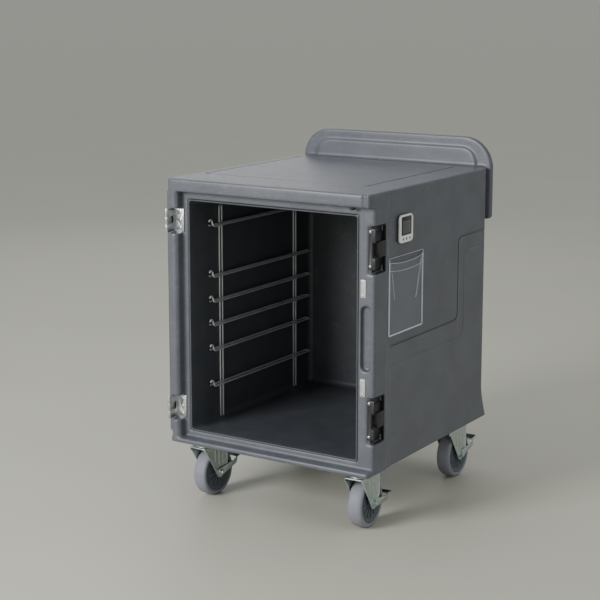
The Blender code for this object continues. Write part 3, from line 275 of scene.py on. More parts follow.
# Clear PVC sheet: thin, glossy, slightly wavy. Its welded and folded edges are nearly solid white, partly
# their own paleness and partly painted highlight; the same near-white finish also draws painted highlight
# streaks across the front.
PVC = Finish("clear_pvc_sheet", "b9c0cd", 0.22, ior=1.45, alpha=0.07, specular=0.9, layers=(
    Layer(45, "d6dce6", 0.6, 0.4, 0.7, rough=0.05, height_mm=0.3),
    Layer(6, "f4f6f8", 0.3, 0.6, 0.72, rough=0.1)))
# Near-white and nearly opaque: partly the welds' own paleness, partly painted highlight.
PVC_WELD_AND_HIGHLIGHT = Finish("welded_pvc_edge", "e6ebf3", 0.25, ior=1.45, alpha=0.8, specular=0.8, layers=(
    Layer(1.2, "c3cad4", 0.5, 0.4, 0.6, rough=0.08, height_mm=0.05),))
# The plain floor, with broad worn patches.
CONCRETE = Finish("painted_floor", "c0bfae", 0.5, layers=(
    Layer(900, "bab8ad", 0.5, 0.3, 0.7),
    Layer(3, "c9c7bd", 0.2, 0.45, 0.7, rough=0.04)))

FINISHES: dict[str, bpy.types.Material] = {}


def material(finish: Finish) -> bpy.types.Material:
    """Return the material of a finish, made at its first use."""
    if finish.name not in FINISHES:
        FINISHES[finish.name] = finish.build()
    return FINISHES[finish.name]


# ---------------------------------------------------------------- placing
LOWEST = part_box("cabinet_shell")[0]
SHELL_WIDTH = 710.0
DATUM = Vector((LOWEST.x + SHELL_WIDTH / 2 * MM, LOWEST.y, 0))


def at(x: float, y: float, z: float) -> Vector:
    """Turn a place from the cabinet's centre plane, front and floor, in millimetres, into the frame's."""
    return Vector((x, y, z)) * MM + DATUM


def place_of(node: str) -> tuple[Vector, Vector]:
    """Return a node's lowest and highest corner in millimetres, from the cabinet's own datum."""
    low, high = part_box(node)
    return (low - DATUM) / MM, (high - DATUM) / MM


# ---------------------------------------------------------------- meshes
def evaluated(item: bpy.types.Object, name: str) -> bpy.types.Mesh:
    """Return the mesh that an object's modifiers make, and remove the object.

    Args:
        item: The object, with its modifiers.
        name: The new mesh's name.

    Returns:
        The plain mesh.
    """
    bpy.context.view_layer.update()
    graph = bpy.context.evaluated_depsgraph_get()
    mesh = bpy.data.meshes.new_from_object(item.evaluated_get(graph))
    mesh.name = name
    bpy.data.objects.remove(item)
    return mesh


def temporary(mesh: bpy.types.Mesh) -> bpy.types.Object:
    """Put a mesh into the scene as a working object."""
    item = bpy.data.objects.new("working", mesh)
    bpy.context.scene.collection.objects.link(item)
    return item


def to_mesh(form: bmesh.types.BMesh) -> bpy.types.Mesh:
    """Turn a bmesh into a mesh with its normals outwards.

    Args:
        form: The bmesh, which is freed.

    Returns:
        The mesh.
    """
    bmesh.ops.remove_doubles(form, verts=form.verts, dist=1e-6)
    bmesh.ops.recalc_face_normals(form, faces=form.faces)
    mesh = bpy.data.meshes.new("form")
    form.to_mesh(mesh)
    form.free()
    return mesh


def joined(meshes: Iterable[bpy.types.Mesh]) -> bpy.types.Mesh:
    """Join meshes into one."""
    form = bmesh.new()
    for mesh in meshes:
        form.from_mesh(mesh)
    result = bpy.data.meshes.new("joined")
    form.to_mesh(result)
    form.free()
    return result


def finished(name: str, mesh: bpy.types.Mesh, finish: Finish, body: str,
             nodes: Sequence[str] = (), angle: float = 38) -> bpy.types.Object:
    """Make a finished piece: named, dressed, smooth except at its sharp edges, and riding on its body.

    Args:
        name: The piece's name.
        mesh: Its mesh, in place.
        finish: Its finish.
        body: The frame's body that it moves with.
        nodes: The frame's nodes that it stands for.
        angle: Edges sharper than this stay sharp, in degrees.

    Returns:
        The piece.
    """
    mesh.name = name
    mesh.materials.clear()
    mesh.materials.append(material(finish))
    mesh.shade_smooth()
    mesh.set_sharp_from_angle(angle=math.radians(angle))
    item = bpy.data.objects.new(name, mesh)
    bpy.context.scene.collection.objects.link(item)
    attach(item, body)
    if nodes:
        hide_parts(*nodes)
    LOG.info("%s: %d faces on %s", name, len(mesh.polygons), body)
    return item


def eased(mesh: bpy.types.Mesh, width: float, segments: int = 2, angle: float = 35) -> bpy.types.Mesh:
    """Round a mesh's sharp edges.

    Args:
        mesh: The mesh.
        width: How far the rounding reaches, in millimetres.
        segments: Its steps.
        angle: The least angle between faces that is rounded, in degrees.

    Returns:
        The rounded mesh.
    """
    item = temporary(mesh)
    ease = item.modifiers.new("ease", "BEVEL")
    ease.width = width * MM
    ease.segments = segments
    ease.limit_method = "ANGLE"
    ease.angle_limit = math.radians(angle)
    ease.use_clamp_overlap = True
    return evaluated(item, "eased")


def cut(mesh: bpy.types.Mesh, tools: Iterable[bpy.types.Mesh], solver: str = "EXACT") -> bpy.types.Mesh:
    """Cut meshes out of a closed mesh.

    Args:
        mesh: The closed mesh.
        tools: Closed meshes that are cut out.
        solver: The solver that cuts them.

    Returns:
        The result.
    """
    item = temporary(mesh)
    helpers = []
    for tool in tools:
        helper = temporary(tool)
        helpers.append(helper)
        change = item.modifiers.new("cut", "BOOLEAN")
        change.operation = "DIFFERENCE"
        change.solver = solver
        change.object = helper
    result = evaluated(item, "cut")
    for helper in helpers:
        bpy.data.objects.remove(helper)
    return result


def frame_copy(nodes: Sequence[str]) -> bpy.types.Mesh:
    """Return a merged copy of the frame's nodes."""
    form = bmesh.new()
    for node in nodes:
        form.from_mesh(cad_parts[node].data)
    bmesh.ops.remove_doubles(form, verts=form.verts, dist=1e-5)
    mesh = bpy.data.meshes.new("copy")
    form.to_mesh(mesh)
    form.free()
    return mesh


def moulded(mesh: bpy.types.Mesh, voxel: float, passes: int, spare: float) -> bpy.types.Mesh:
    """Give a closed mesh the soft edges of a moulding, with few faces where it is flat.

    Args:
        mesh: The closed mesh.
        voxel: The grid's step, in millimetres.
        passes: How often it is smoothed.
        spare: How far the flat parts are thinned out.

    Returns:
        The softened mesh.
    """
    item = temporary(mesh)
    for step, thin in enumerate((0.0, spare)):
        grid = item.modifiers.new(f"grid_{step}", "REMESH")
        grid.mode = "VOXEL"
        grid.voxel_size = voxel * MM
        grid.adaptivity = thin
        if step == 0:
            soften = item.modifiers.new("soften", "SMOOTH")
            soften.factor = 0.5
            soften.iterations = passes
    return evaluated(item, "moulded")


def block(low: Sequence[float], high: Sequence[float]) -> bpy.types.Mesh:
    """Return a box between two corners in millimetres, as a base for rounding or cutting."""
    form = bmesh.new()
    bmesh.ops.create_cube(form, size=1)
    size = [high[i] - low[i] for i in range(3)]
    middle = [(high[i] + low[i]) / 2 for i in range(3)]
    for corner in form.verts:
        corner.co = at(*(middle[i] + corner.co[i] * size[i] for i in range(3)))
    return to_mesh(form)


def outline(low: tuple[float, float], high: tuple[float, float], corner: float,
            steps: int = 6) -> list[tuple[float, float]]:
    """Return a rounded rectangle, anticlockwise from its lower left corner.

    Args:
        low: Its lowest values.
        high: Its highest values.
        corner: Its corner radius.
        steps: The steps of each corner.

    Returns:
        The points.
    """
    ends = ((low[0], low[1], 1, 1, 180), (high[0], low[1], -1, 1, 270),
            (high[0], high[1], -1, -1, 0), (low[0], high[1], 1, -1, 90))
    points = []
    for x, y, dx, dy, start in ends:
        for step in range(steps + 1):
            turn = math.radians(start + 90 * step / steps)
            points.append((x + dx * corner + corner * math.cos(turn),
                           y + dy * corner + corner * math.sin(turn)))
    return points


def lift(point: tuple[float, float], depth: float, axis: Axis) -> Point:
    """Place a flat point at a depth along an axis."""
    if axis is Axis.X:
        return (depth, point[0], point[1])
    if axis is Axis.Y:
        return (point[0], depth, point[1])
    return (point[0], point[1], depth)


def loft(rings: Sequence[tuple[Sequence[tuple[float, float]], float]], axis: Axis,
         loop: bool = False, where: Callable[..., Vector] = at) -> bpy.types.Mesh:
    """Skin a stack of outlines that have the same number of points.

    Args:
        rings: Each outline with its depth along the axis.
        axis: The axis.
        loop: Whether the last outline joins the first; otherwise both ends are closed with a face.
        where: The function that places a point.

    Returns:
        The mesh.
    """
    form = bmesh.new()
    rows = [[form.verts.new(where(*lift(point, depth, axis))) for point in points] for points, depth in rings]
    count = len(rows[0])
    pairs = list(zip(rows, rows[1:])) + ([(rows[-1], rows[0])] if loop else [])
    for first, second in pairs:
        for index in range(count):
            after = (index + 1) % count
            form.faces.new((first[index], first[after], second[after], second[index]))
    if not loop:
        form.faces.new(rows[0])
        form.faces.new(rows[-1])
    return to_mesh(form)


def crowned(low: tuple[float, float], high: tuple[float, float], corner: float, start: float, end: float,
            round_mm: float, axis: Axis, where: Callable[..., Vector] = at, steps: int = 4) -> bpy.types.Mesh:
    """Return a flat piece with a rounded outline and a rounded edge on its far face.

    Args:
        low: Its lowest values.
        high: Its highest values.
        corner: Its corner radius.
        start: Where its back lies along the axis.
        end: Where its face lies.
        round_mm: The radius of the edge of its face.
        axis: The axis.
        where: The function that places a point.
        steps: The steps of the edge.

    Returns:
        The mesh.
    """
    direction = 1 if end > start else -1
    rings = [(outline(low, high, corner), start)]
    for step in range(steps + 1):
        turn = math.radians(90 * step / steps)
        inset = round_mm * (1 - math.cos(turn))
        rings.append((outline((low[0] + inset, low[1] + inset), (high[0] - inset, high[1] - inset),
                              max(corner - inset, 0.05)),
                      end - direction * round_mm * (1 - math.sin(turn))))
    return loft(rings, axis, where=where)


def turned(profile: Sequence[tuple[float, float]], centre: Vector, direction: Vector,
           steps: int = 48) -> bpy.types.Mesh:
    """Turn a closed profile round an axis.

    Args:
        profile: Points of radius and height along the axis, in millimetres.
        centre: The axis's start, in metres.
        direction: The axis.
        steps: The steps round.

    Returns:
        The mesh.
    """
    form = bmesh.new()
    aim = direction.to_track_quat("Z", "Y").to_matrix()
    rows = []
    for step in range(steps):
        turn = 2 * math.pi * step / steps
        rows.append([form.verts.new(centre + aim @ Vector((r * math.cos(turn), r * math.sin(turn), h)) * MM)
                     for r, h in profile])
    for first, second in zip(rows, rows[1:] + rows[:1]):
        for index in range(len(profile)):
            after = (index + 1) % len(profile)
            form.faces.new((first[index], first[after], second[after], second[index]))
    bmesh.ops.remove_doubles(form, verts=form.verts, dist=1e-6)
    bmesh.ops.dissolve_degenerate(form, dist=1e-7, edges=form.edges)
    return to_mesh(form)


# ---------------------------------------------------------------- node trees for what repeats
def new_tree(name: str,
             inputs: Sequence[tuple[str, str, object]]) -> tuple[bpy.types.NodeTree, bpy.types.Node]:
    """Start a geometry tree with named inputs.

    Args:
        name: The tree's name.
        inputs: Name, socket type and default of each input after the geometry.

    Returns:
        The tree and its input node.
    """
    tree = bpy.data.node_groups.new(name, "GeometryNodeTree")
    tree.interface.new_socket("Geometry", in_out="INPUT", socket_type="NodeSocketGeometry")
    for title, kind, default in inputs:
        socket = tree.interface.new_socket(title, in_out="INPUT", socket_type=kind)
        if default is not None:
            socket.default_value = default
    tree.interface.new_socket("Geometry", in_out="OUTPUT", socket_type="NodeSocketGeometry")
    return tree, add_node(tree, "NodeGroupInput")


def end_tree(tree: bpy.types.NodeTree, source: bpy.types.Node,
             made: bpy.types.NodeSocket) -> bpy.types.NodeTree:
    """End a geometry tree with real meshes and their finish."""
    real = add_node(tree, "GeometryNodeRealizeInstances", {0: made})
    dressed = add_node(tree, "GeometryNodeSetMaterial",
                       {"Geometry": real.outputs[0], "Material": source.outputs["Finish"]})
    add_node(tree, "NodeGroupOutput", {0: dressed.outputs[0]})
    return tree


def wire_tree() -> bpy.types.NodeTree:
    """Make the tree that bends wire along edge paths: fillets at the bends, round section, closed ends."""
    tree, source = new_tree("bent_wire", (
        ("Radius", "NodeSocketFloat", 0.003), ("Bend", "NodeSocketFloat", 0.008),
        ("Sides", "NodeSocketInt", 12), ("Finish", "NodeSocketMaterial", None)))
    path = add_node(tree, "GeometryNodeMeshToCurve", {"Mesh": source.outputs["Geometry"]})
    bent = add_node(tree, "GeometryNodeFilletCurve",
                    {"Curve": path.outputs[0], "Radius": source.outputs["Bend"]})
    if "Mode" in bent.inputs:
        bent.inputs["Mode"].default_value = "Poly"
    else:
        bent.mode = "POLY"
    bent.inputs["Count"].default_value = 5
    bent.inputs["Limit Radius"].default_value = True
    section = add_node(tree, "GeometryNodeCurvePrimitiveCircle",
                       {"Resolution": source.outputs["Sides"], "Radius": source.outputs["Radius"]})
    swept = add_node(tree, "GeometryNodeCurveToMesh",
                     {"Curve": bent.outputs[0], "Profile Curve": section.outputs[0]}, {"Fill Caps": True})
    return end_tree(tree, source, swept.outputs[0])


def copies_tree() -> bpy.types.NodeTree:
    """Make the tree that sets a copy of an item on every point, turned to the point's facing."""
    tree, source = new_tree("set_copies", (
        ("Item", "NodeSocketObject", None), ("Size", "NodeSocketFloat", 1.0),
        ("Finish", "NodeSocketMaterial", None)))
    item = add_node(tree, "GeometryNodeObjectInfo", {"Object": source.outputs["Item"]})
    facing = add_node(tree, "GeometryNodeInputNamedAttribute", inputs={"Name": "facing"},
                      data_type="FLOAT_VECTOR")
    turn = add_node(tree, "FunctionNodeAlignRotationToVector", {"Vector": facing.outputs[0]}, axis="Z")
    spots = add_node(tree, "GeometryNodeMeshToPoints", {"Mesh": source.outputs["Geometry"]})
    placed = add_node(tree, "GeometryNodeInstanceOnPoints",
                      {"Points": spots.outputs[0], "Instance": item.outputs["Geometry"],
                       "Rotation": turn.outputs[0], "Scale": source.outputs["Size"]})
    return end_tree(tree, source, placed.outputs[0])


def run_tree(tree: bpy.types.NodeTree, mesh: bpy.types.Mesh, values: dict[str, object]) -> bpy.types.Mesh:
    """Run a geometry tree on a mesh and return its result as a plain mesh.

    Args:
        tree: The tree.
        mesh: What goes into it.
        values: Value of each input, by its name.

    Returns:
        The plain mesh.
    """
    item = temporary(mesh)
    nodes = item.modifiers.new("nodes", "NODES")
    nodes.node_group = tree
    sockets = {s.name: s.identifier for s in tree.interface.items_tree if s.in_out == "INPUT"}
    for name, value in values.items():
        nodes[sockets[name]] = value
    return evaluated(item, tree.name)


WIRE_TREE = wire_tree()
COPIES_TREE = copies_tree()


def wires(paths: Sequence[tuple[Sequence[Vector], bool]], radius: float, bend: float, finish: Finish,
          sides: int = 12) -> bpy.types.Mesh:
    """Bend wires along paths.

    Args:
        paths: Points of each wire in metres, and whether it is a closed loop.
        radius: The wire's radius, in millimetres.
        bend: The radius of its bends, in millimetres.
        finish: Its finish.
        sides: The sides of its section.

    Returns:
        The mesh of all wires.
    """
    form = bmesh.new()
    for points, loop in paths:
        corners = [form.verts.new(point) for point in points]
        for first, second in zip(corners, corners[1:]):
            form.edges.new((first, second))
        if loop:
            form.edges.new((corners[-1], corners[0]))
    mesh = bpy.data.meshes.new("paths")
    form.to_mesh(mesh)
    form.free()
    return run_tree(WIRE_TREE, mesh, {"Radius": radius * MM, "Bend": bend * MM, "Sides": sides,
                                      "Finish": material(finish)})


def copies(item: bpy.types.Mesh, spots: Sequence[tuple[Vector, Vector]], finish: Finish,
           size: float = 1.0) -> bpy.types.Mesh:
    """Set a copy of a mesh on each spot, its own Z along the spot's facing.

    Args:
        item: The mesh, at the origin.
        spots: Place and facing of each copy.
        finish: Its finish.
        size: Its scale.

    Returns:
        The mesh of all copies.
    """
    mesh = bpy.data.meshes.new("spots")
    mesh.from_pydata([place for place, _ in spots], [], [])
    facing = mesh.attributes.new("facing", "FLOAT_VECTOR", "POINT")
    facing.data.foreach_set("vector", [value for _, aim in spots for value in aim])
    holder = temporary(item)
    made = run_tree(COPIES_TREE, mesh, {"Item": holder, "Size": size, "Finish": material(finish)})
    bpy.data.objects.remove(holder)
    return made


def screw_head(radius: float, height: float) -> bpy.types.Mesh:
    """Return a pan screw head with a cross recess and its washer face, standing on the origin.

    Args:
        radius: The head's radius, in millimetres.
        height: Its height, in millimetres.

    Returns:
        The mesh.
    """
    profile = [(0, -0.4), (radius, -0.4), (radius, height * 0.35), (radius * 0.9, height * 0.72),
               (radius * 0.62, height * 0.95), (0, height)]
    head = turned(profile, Vector(), Vector((0, 0, 1)), 20)
    tools = []
    for long, short in ((0.62, 0.15), (0.15, 0.62)):
        form = bmesh.new()
        bmesh.ops.create_cube(form, size=1)
        for corner in form.verts:
            corner.co = Vector((corner.co.x * long * 2 * radius, corner.co.y * short * 2 * radius,
                                height * 0.85 + corner.co.z * height * 0.8)) * MM
        tools.append(to_mesh(form))
    return cut(head, tools)


def hex_head(radius: float, height: float) -> bpy.types.Mesh:
    """Return a chamfered hexagon head, standing on the origin."""
    turns = [math.radians(60 * i) for i in range(6)]
    ring = [(radius * math.cos(turn), radius * math.sin(turn)) for turn in turns]
    small = [(x * 0.9, y * 0.9) for x, y in ring]
    rings = [(small, 0.0), (ring, height * 0.12), (ring, height * 0.85), (small, height)]
    return loft(rings, Axis.Z, where=lambda x, y, z: Vector((x, y, z)) * MM)


def bare(node: str) -> bpy.types.Mesh:
    """Return a merged copy of one node whose flat parts are whole faces."""
    form = bmesh.new()
    form.from_mesh(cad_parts[node].data)
    bmesh.ops.remove_doubles(form, verts=form.verts, dist=1e-5)
    bmesh.ops.dissolve_limit(form, angle_limit=math.radians(1), verts=form.verts, edges=form.edges)
    mesh = bpy.data.meshes.new(node)
    form.to_mesh(mesh)
    form.free()
    return mesh


def dress(node: str, finish: Finish) -> None:
    """Give a frame node that keeps its own shape its finish."""
    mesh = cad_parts[node].data
    mesh.materials.clear()
    mesh.materials.append(material(finish))
    LOG.info("%s keeps its own shape", node)


# ---------------------------------------------------------------- cabinet
@dataclass
class Cabinet:
    """The moulded shell with its foam, its liner and the marks of its moulding."""

    voxel: float = 3.0
    passes: int = 3
    spare: float = 0.001
    groove_radius: float = 3.4
    groove_corner: float = 16.0
    brow_line_radius: float = 1.5
    brow_line_y: float = 15.0
    brow_line_reach: float = 352.0
    deck: float = 1019.0
    panel_low: tuple[float, float] = (-329.0, 153.0)
    panel_high: tuple[float, float] = (255.0, 735.0)
    liner_wall: float = 5.0
    liner_draft: float = 30.0
    lip: float = 1.6
    lip_edge: float = 1.2
    line_radius: float = 3.6
    line_bend: float = 22.0
    side_lines: tuple[tuple[tuple[tuple[float, float], ...], float], ...] = (
        (((783, 822), (565, 822), (565, 560), (136, 560)), 351.0),
        (((783, 772), (612, 772), (612, 498), (136, 498)), 351.0))
    liner_corner: float = 20.0

    def build(self) -> None:
        """Make every piece of the cabinet."""
        self.shell()
        self.liner()
        dress("foam_core", FOAM)

    def groove_tools(self) -> list[bpy.types.Mesh]:
        """Return the round bars that sink the deck's outline, the brow's line and the sides' lines."""
        middle = self.groove_radius
        ring = outline((self.panel_low[0] + middle, self.panel_low[1] + middle),
                       (self.panel_high[0] - middle, self.panel_high[1] - middle), self.groove_corner)
        deck_ring = [at(x, y, self.deck) for x, y in ring]
        brow = [at(x, self.brow_line_y, self.deck + 0.4)
                for x in (-self.brow_line_reach, self.brow_line_reach)]
        tools = [wires([(deck_ring, True)], self.groove_radius, 0.1, POLYETHYLENE, 10),
                 wires([(brow, False)], self.brow_line_radius, 0.1, POLYETHYLENE, 10)]
        for side in Side:
            for bend, face in self.side_lines:
                path = [at(side.value * face, y, z) for y, z in bend]
                tools.append(wires([(path, False)], self.line_radius, self.line_bend, POLYETHYLENE, 10))
        return tools

    def shell(self) -> None:
        """Make the outer shell, with soft moulded edges and no faces behind the liner."""
        mesh = moulded(frame_copy(["cabinet_shell", "foam_core"]), self.voxel, self.passes, self.spare)
        mesh = cut(mesh, self.groove_tools(), solver="MANIFOLD")
        form = bmesh.new()
        form.from_mesh(mesh)
        low, high = (at(*corner) for corner in place_of("inner_liner"))
        reach = 4 * MM
        hidden = [face for face in form.faces
                  if all(low[i] - reach < v.co[i] < high[i] + reach for v in face.verts for i in (0, 2))
                  and all(low[1] + 12 * MM < v.co[1] < high[1] + reach for v in face.verts)]
        bmesh.ops.delete(form, geom=hidden, context="FACES")
        form.to_mesh(mesh)
        form.free()
        finished("moulded_shell", mesh, POLYETHYLENE, "cabinet", ["cabinet_shell"], angle=50)

    def liner(self) -> None:
        """Make the liner: a deep tray on its side, with wide inner corners and a rounded lip."""
        low, high = place_of("inner_liner")
        wall = self.liner_wall
        edge, lip = self.lip_edge, self.lip
        rings = [((low.x, low.z), (high.x, high.z), 3.0, low.y + edge),
                 ((low.x + edge, low.z + edge), (high.x - edge, high.z - edge), 3.0, low.y)]
        for step in range(4):
            inset = wall - lip + lip * math.sin(math.radians(30 * step))
            rings.append(((low.x + inset, low.z + inset), (high.x - inset, high.z - inset), 8.0,
                          low.y + lip * (1 - math.cos(math.radians(30 * step)))))
        inner_low = (low.x + wall, low.z + wall)
        inner_high = (high.x - wall, high.z - wall)
        rings.append((inner_low, inner_high, self.liner_corner, low.y + self.liner_draft))
        back = high.y - wall
        for step in range(7):
            turn = math.radians(15 * step)
            inset = self.liner_corner * (1 - math.cos(turn))
            rings.append(((inner_low[0] + inset, inner_low[1] + inset),
                          (inner_high[0] - inset, inner_high[1] - inset),
                          max(self.liner_corner - inset, 1.0),
                          back - self.liner_corner * (1 - math.sin(turn))))
        outer = [((low.x, low.z), (high.x, high.z), 3.0, high.y)]
        rows = [(outline(a, b, corner), depth) for a, b, corner, depth in outer + rings]
        finished("moulded_liner", loft(rows, Axis.Y), LINER, "cabinet", ["inner_liner"])


# ---------------------------------------------------------------- fittings of the doorway
@dataclass
class DoorwayFittings:
    """Strikes and catch plates on the doorway's right side, and the bumper under the brow."""

    strike_screws: tuple[float, float] = (-47.0, 53.0)
    catch_screws: tuple[float, float] = (-19.0, 19.0)
    catch_face: float = 33.0
    pocket: float = 140.0
    pocket_front: float = 42.0
    pocket_rear: float = 98.5
    pocket_floor: float = 342.0
    pocket_mouth: float = 353.5
    shade_sheet_wall: float = 1.6

    def build(self) -> None:
        """Make every fitting."""
        for level in ("upper", "lower"):
            self.strike(level)
            self.catch(level)
        self.bumper()

    def strike(self, level: str) -> None:
        """Make one latch strike with its two screws.

        Args:
            level: Which of the two it is.
        """
        node = f"latch_strike_{level}"
        low, high = place_of(node)
        finished(f"strike_{level}", eased(bare(node), 0.7), NYLON, "cabinet", [node])
        centre = (low.z + high.z) / 2 - 3
        # Near-black sheets inside the pocket, as painted shade.
        self.pocket_shade(level, centre)
        spots = [(at(low.x + 6, low.y + 1.5, centre + offset), Vector((0, -1, 0)))
                 for offset in self.strike_screws]
        screws = copies(screw_head(4.4, 2.4), spots, STAINLESS)
        finished(f"strike_screws_{level}", screws, STAINLESS, "cabinet")

    def pocket_shade(self, level: str, centre: float) -> None:
        """Make near-black sheets on a strike's pocket floor, its ends and its rear wall, as painted shade
        that darkens the recess.

        Args:
            level: Which of the two it is.
            centre: The pocket's middle height.
        """
        tall = self.pocket / 2 - 1.5
        low, high = centre - tall, centre + tall
        front, rear = self.pocket_front, self.pocket_rear
        inside, outside, wall = self.pocket_floor, self.pocket_mouth, self.shade_sheet_wall
        # These near-black sheets are painted shade: they darken the strike's pocket, a recess in the shell.
        sheets = [((340.6, front, low), (341.5, rear, high)),
                  ((inside, front, low), (outside, rear, low + wall)),
                  ((inside, front, high - wall), (outside, rear, high)),
                  ((inside, 98.1, low), (outside, 99.0, high))]
        mesh = joined([eased(block(*corners), 0.4) for corners in sheets])
        finished(f"strike_lining_{level}", mesh, NYLON, "cabinet")

    def catch(self, level: str) -> None:
        """Make one steel catch plate with its two screws.

        Args:
            level: Which of the two it is.
        """
        node = f"catch_plate_{level}"
        low, high = place_of(node)
        face = self.catch_face
        plate = crowned((low.x, low.z), (high.x, high.z), 2.5, face + 2, face, 0.5, Axis.Y)
        finished(f"catch_{level}", plate, STAINLESS, "cabinet", [node])
        middle = (low + high) / 2
        spots = [(at(middle.x, face, middle.z + offset), Vector((0, -1, 0))) for offset in self.catch_screws]
        screws = copies(screw_head(3.6, 1.6), spots, STAINLESS)
        finished(f"catch_screws_{level}", screws, STAINLESS, "cabinet")

    def bumper(self) -> None:
        """Make the rubber-tipped knob under the brow."""
        low, high = place_of("brow_bumper")
        radius = (high.x - low.x) / 2
        profile = [(0, 0), (radius, 0), (radius, -4), (radius * 0.93, -6.2), (radius * 0.72, -7.6),
                   (radius * 0.55, -8.2), (radius * 0.5, -9.4), (radius * 0.3, -9.9), (0, -10)]
        mesh = turned(profile, at((low.x + high.x) / 2, (low.y + high.y) / 2, high.z), Vector((0, 0, 1)), 32)
        finished("brow_knob", mesh, NYLON, "cabinet", ["brow_bumper"])


# ---------------------------------------------------------------- door
def door_at(x: float, y: float, z: float) -> Vector:
    """Place a point of the shut door, in millimetres, on the door folded back along the left side."""
    return at(Door.axis_x - y, x - Door.axis_x, z)


@dataclass
class Door:
    """The foam-filled door: its shell, its inner panel and its gasket."""

    axis_x = -356.5
    voxel: float = 2.4
    passes: int = 2
    spare: float = 0.0008
    sheet_low: tuple[float, float] = (-313.0, 212.0)
    sheet_high: tuple[float, float] = (319.0, 974.0)
    plug_low: tuple[float, float] = (-286.7, 240.3)
    plug_high: tuple[float, float] = (286.7, 940.7)
    sheet_start: float = 28.3
    sheet_back: float = 31.3
    plug_back: float = 53.3
    gasket_width: float = 14.0
    gasket_height: float = 5.6
    gasket_room: float = 2.1

    def build(self) -> None:
        """Make every piece of the door."""
        shell = moulded(frame_copy(["door_shell"]), self.voxel, self.passes, self.spare)
        finished("door_moulding", shell, POLYETHYLENE, "door", ["door_shell"], angle=50)
        dress("door_foam", FOAM)
        self.panel()
        self.gasket()

    def inset(self, amount: float, corner: float, depth: float) -> tuple[list[tuple[float, float]], float]:
        """Return the plug's outline drawn in by an amount, with its depth."""
        low = (self.plug_low[0] + amount, self.plug_low[1] + amount)
        high = (self.plug_high[0] - amount, self.plug_high[1] - amount)
        return outline(low, high, corner), depth

    def panel(self) -> None:
        """Make the inner panel: its flange, its drafted plug and the plug's sunk, ring-shaped field."""
        low, high = self.sheet_low, self.sheet_high
        rings = [(outline(low, high, 6), self.sheet_start), (outline(low, high, 6), self.sheet_back - 1)]
        rings.append((outline((low[0] + 1, low[1] + 1), (high[0] - 1, high[1] - 1), 5), self.sheet_back))
        rings += [self.inset(-2.2, 14, self.sheet_back), self.inset(-0.6, 12.6, self.sheet_back + 0.6),
                  self.inset(0, 12, self.sheet_back + 2.2), self.inset(1.4, 12, self.plug_back - 7)]
        for step in range(1, 6):
            turn = math.radians(18 * step)
            rings.append(self.inset(1.4 + 7 * (1 - math.cos(turn)), 14,
                                    self.plug_back - 7 * (1 - math.sin(turn))))
        for inset, depth in ((48, 0), (50, 0.3), (53, 1.2), (56, 2.1), (59, 2.4), (63, 2.5),
                             (112, 2.5), (115, 2.3), (118, 1.7), (121, 1.0), (124, 0.8), (128, 0.8)):
            rings.append(self.inset(inset, 26, self.plug_back - depth))
        mesh = loft(rings, Axis.Y, where=door_at)
        finished("door_inner_moulding", mesh, LINER, "door", ["door_inner_panel"])

    def gasket(self) -> None:
        """Make the hollow-bulb gasket round the plug, which flattens as the door shuts."""
        start = self.sheet_back + 0.3
        tall = self.gasket_height
        profile = ((0, 0), (0, 1.0), (2.4, 1.5), (3.2, 2.8), (4.2, tall * 0.76), (5.6, tall * 0.94),
                   (7.2, tall), (8.8, tall * 0.94), (10.2, tall * 0.76), (11.2, 2.8), (12, 1.5), (14, 1.0),
                   (14, 0))
        rings = []
        for inset, height in profile:
            out = self.gasket_width + 0.3 - inset
            rings.append(self.inset(-out, max(18 - inset, 4), start + height))
        mesh = loft(rings, Axis.Y, loop=True, where=door_at)
        item = finished("door_bulb_gasket", mesh, GASKET, "door", ["door_gasket"])
        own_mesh(item)


@dataclass
class Hinges:
    """The two stainless hinges."""

    screw_x: float = -327.0
    screw_y: float = 30.8
    screw_pitch: float = 24.0

    def build(self) -> None:
        """Make both hinges, with three screws in each cabinet leaf."""
        for level in ("upper", "lower"):
            leaf = f"hinge_cabinet_leaf_{level}"
            low, high = place_of(leaf)
            finished(f"hinge_leaf_{level}", eased(bare(leaf), 0.35), STAINLESS, "cabinet", [leaf])
            door_leaf = f"hinge_door_leaf_{level}"
            finished(f"hinge_arm_{level}", eased(bare(door_leaf), 0.35), STAINLESS, "door", [door_leaf])
            pin = f"hinge_pin_{level}"
            finished(f"hinge_rivet_{level}", eased(bare(pin), 0.3), ZINC, "cabinet", [pin])
            middle = (low.z + high.z) / 2
            spots = [(at(self.screw_x, self.screw_y, middle + step * self.screw_pitch), Vector((0, -1, 0)))
                     for step in (-1, 0, 1)]
            screws = copies(screw_head(4.8, 2.6), spots, STAINLESS)
            finished(f"hinge_screws_{level}", screws, STAINLESS, "cabinet")


@dataclass
class Latches:
    """The two black latches in the door's free edge."""

    edge: float = 0.8

    def build(self) -> None:
        """Make each latch's base and lever."""
        for level in ("upper", "lower"):
            base = f"latch_base_{level}"
            finished(f"latch_seat_{level}", eased(bare(base), self.edge * 0.6), NYLON, "door", [base])
            lever = f"latch_lever_{level}"
            finished(f"latch_paddle_{level}", eased(bare(lever), self.edge), NYLON, f"latch_{level}", [lever])


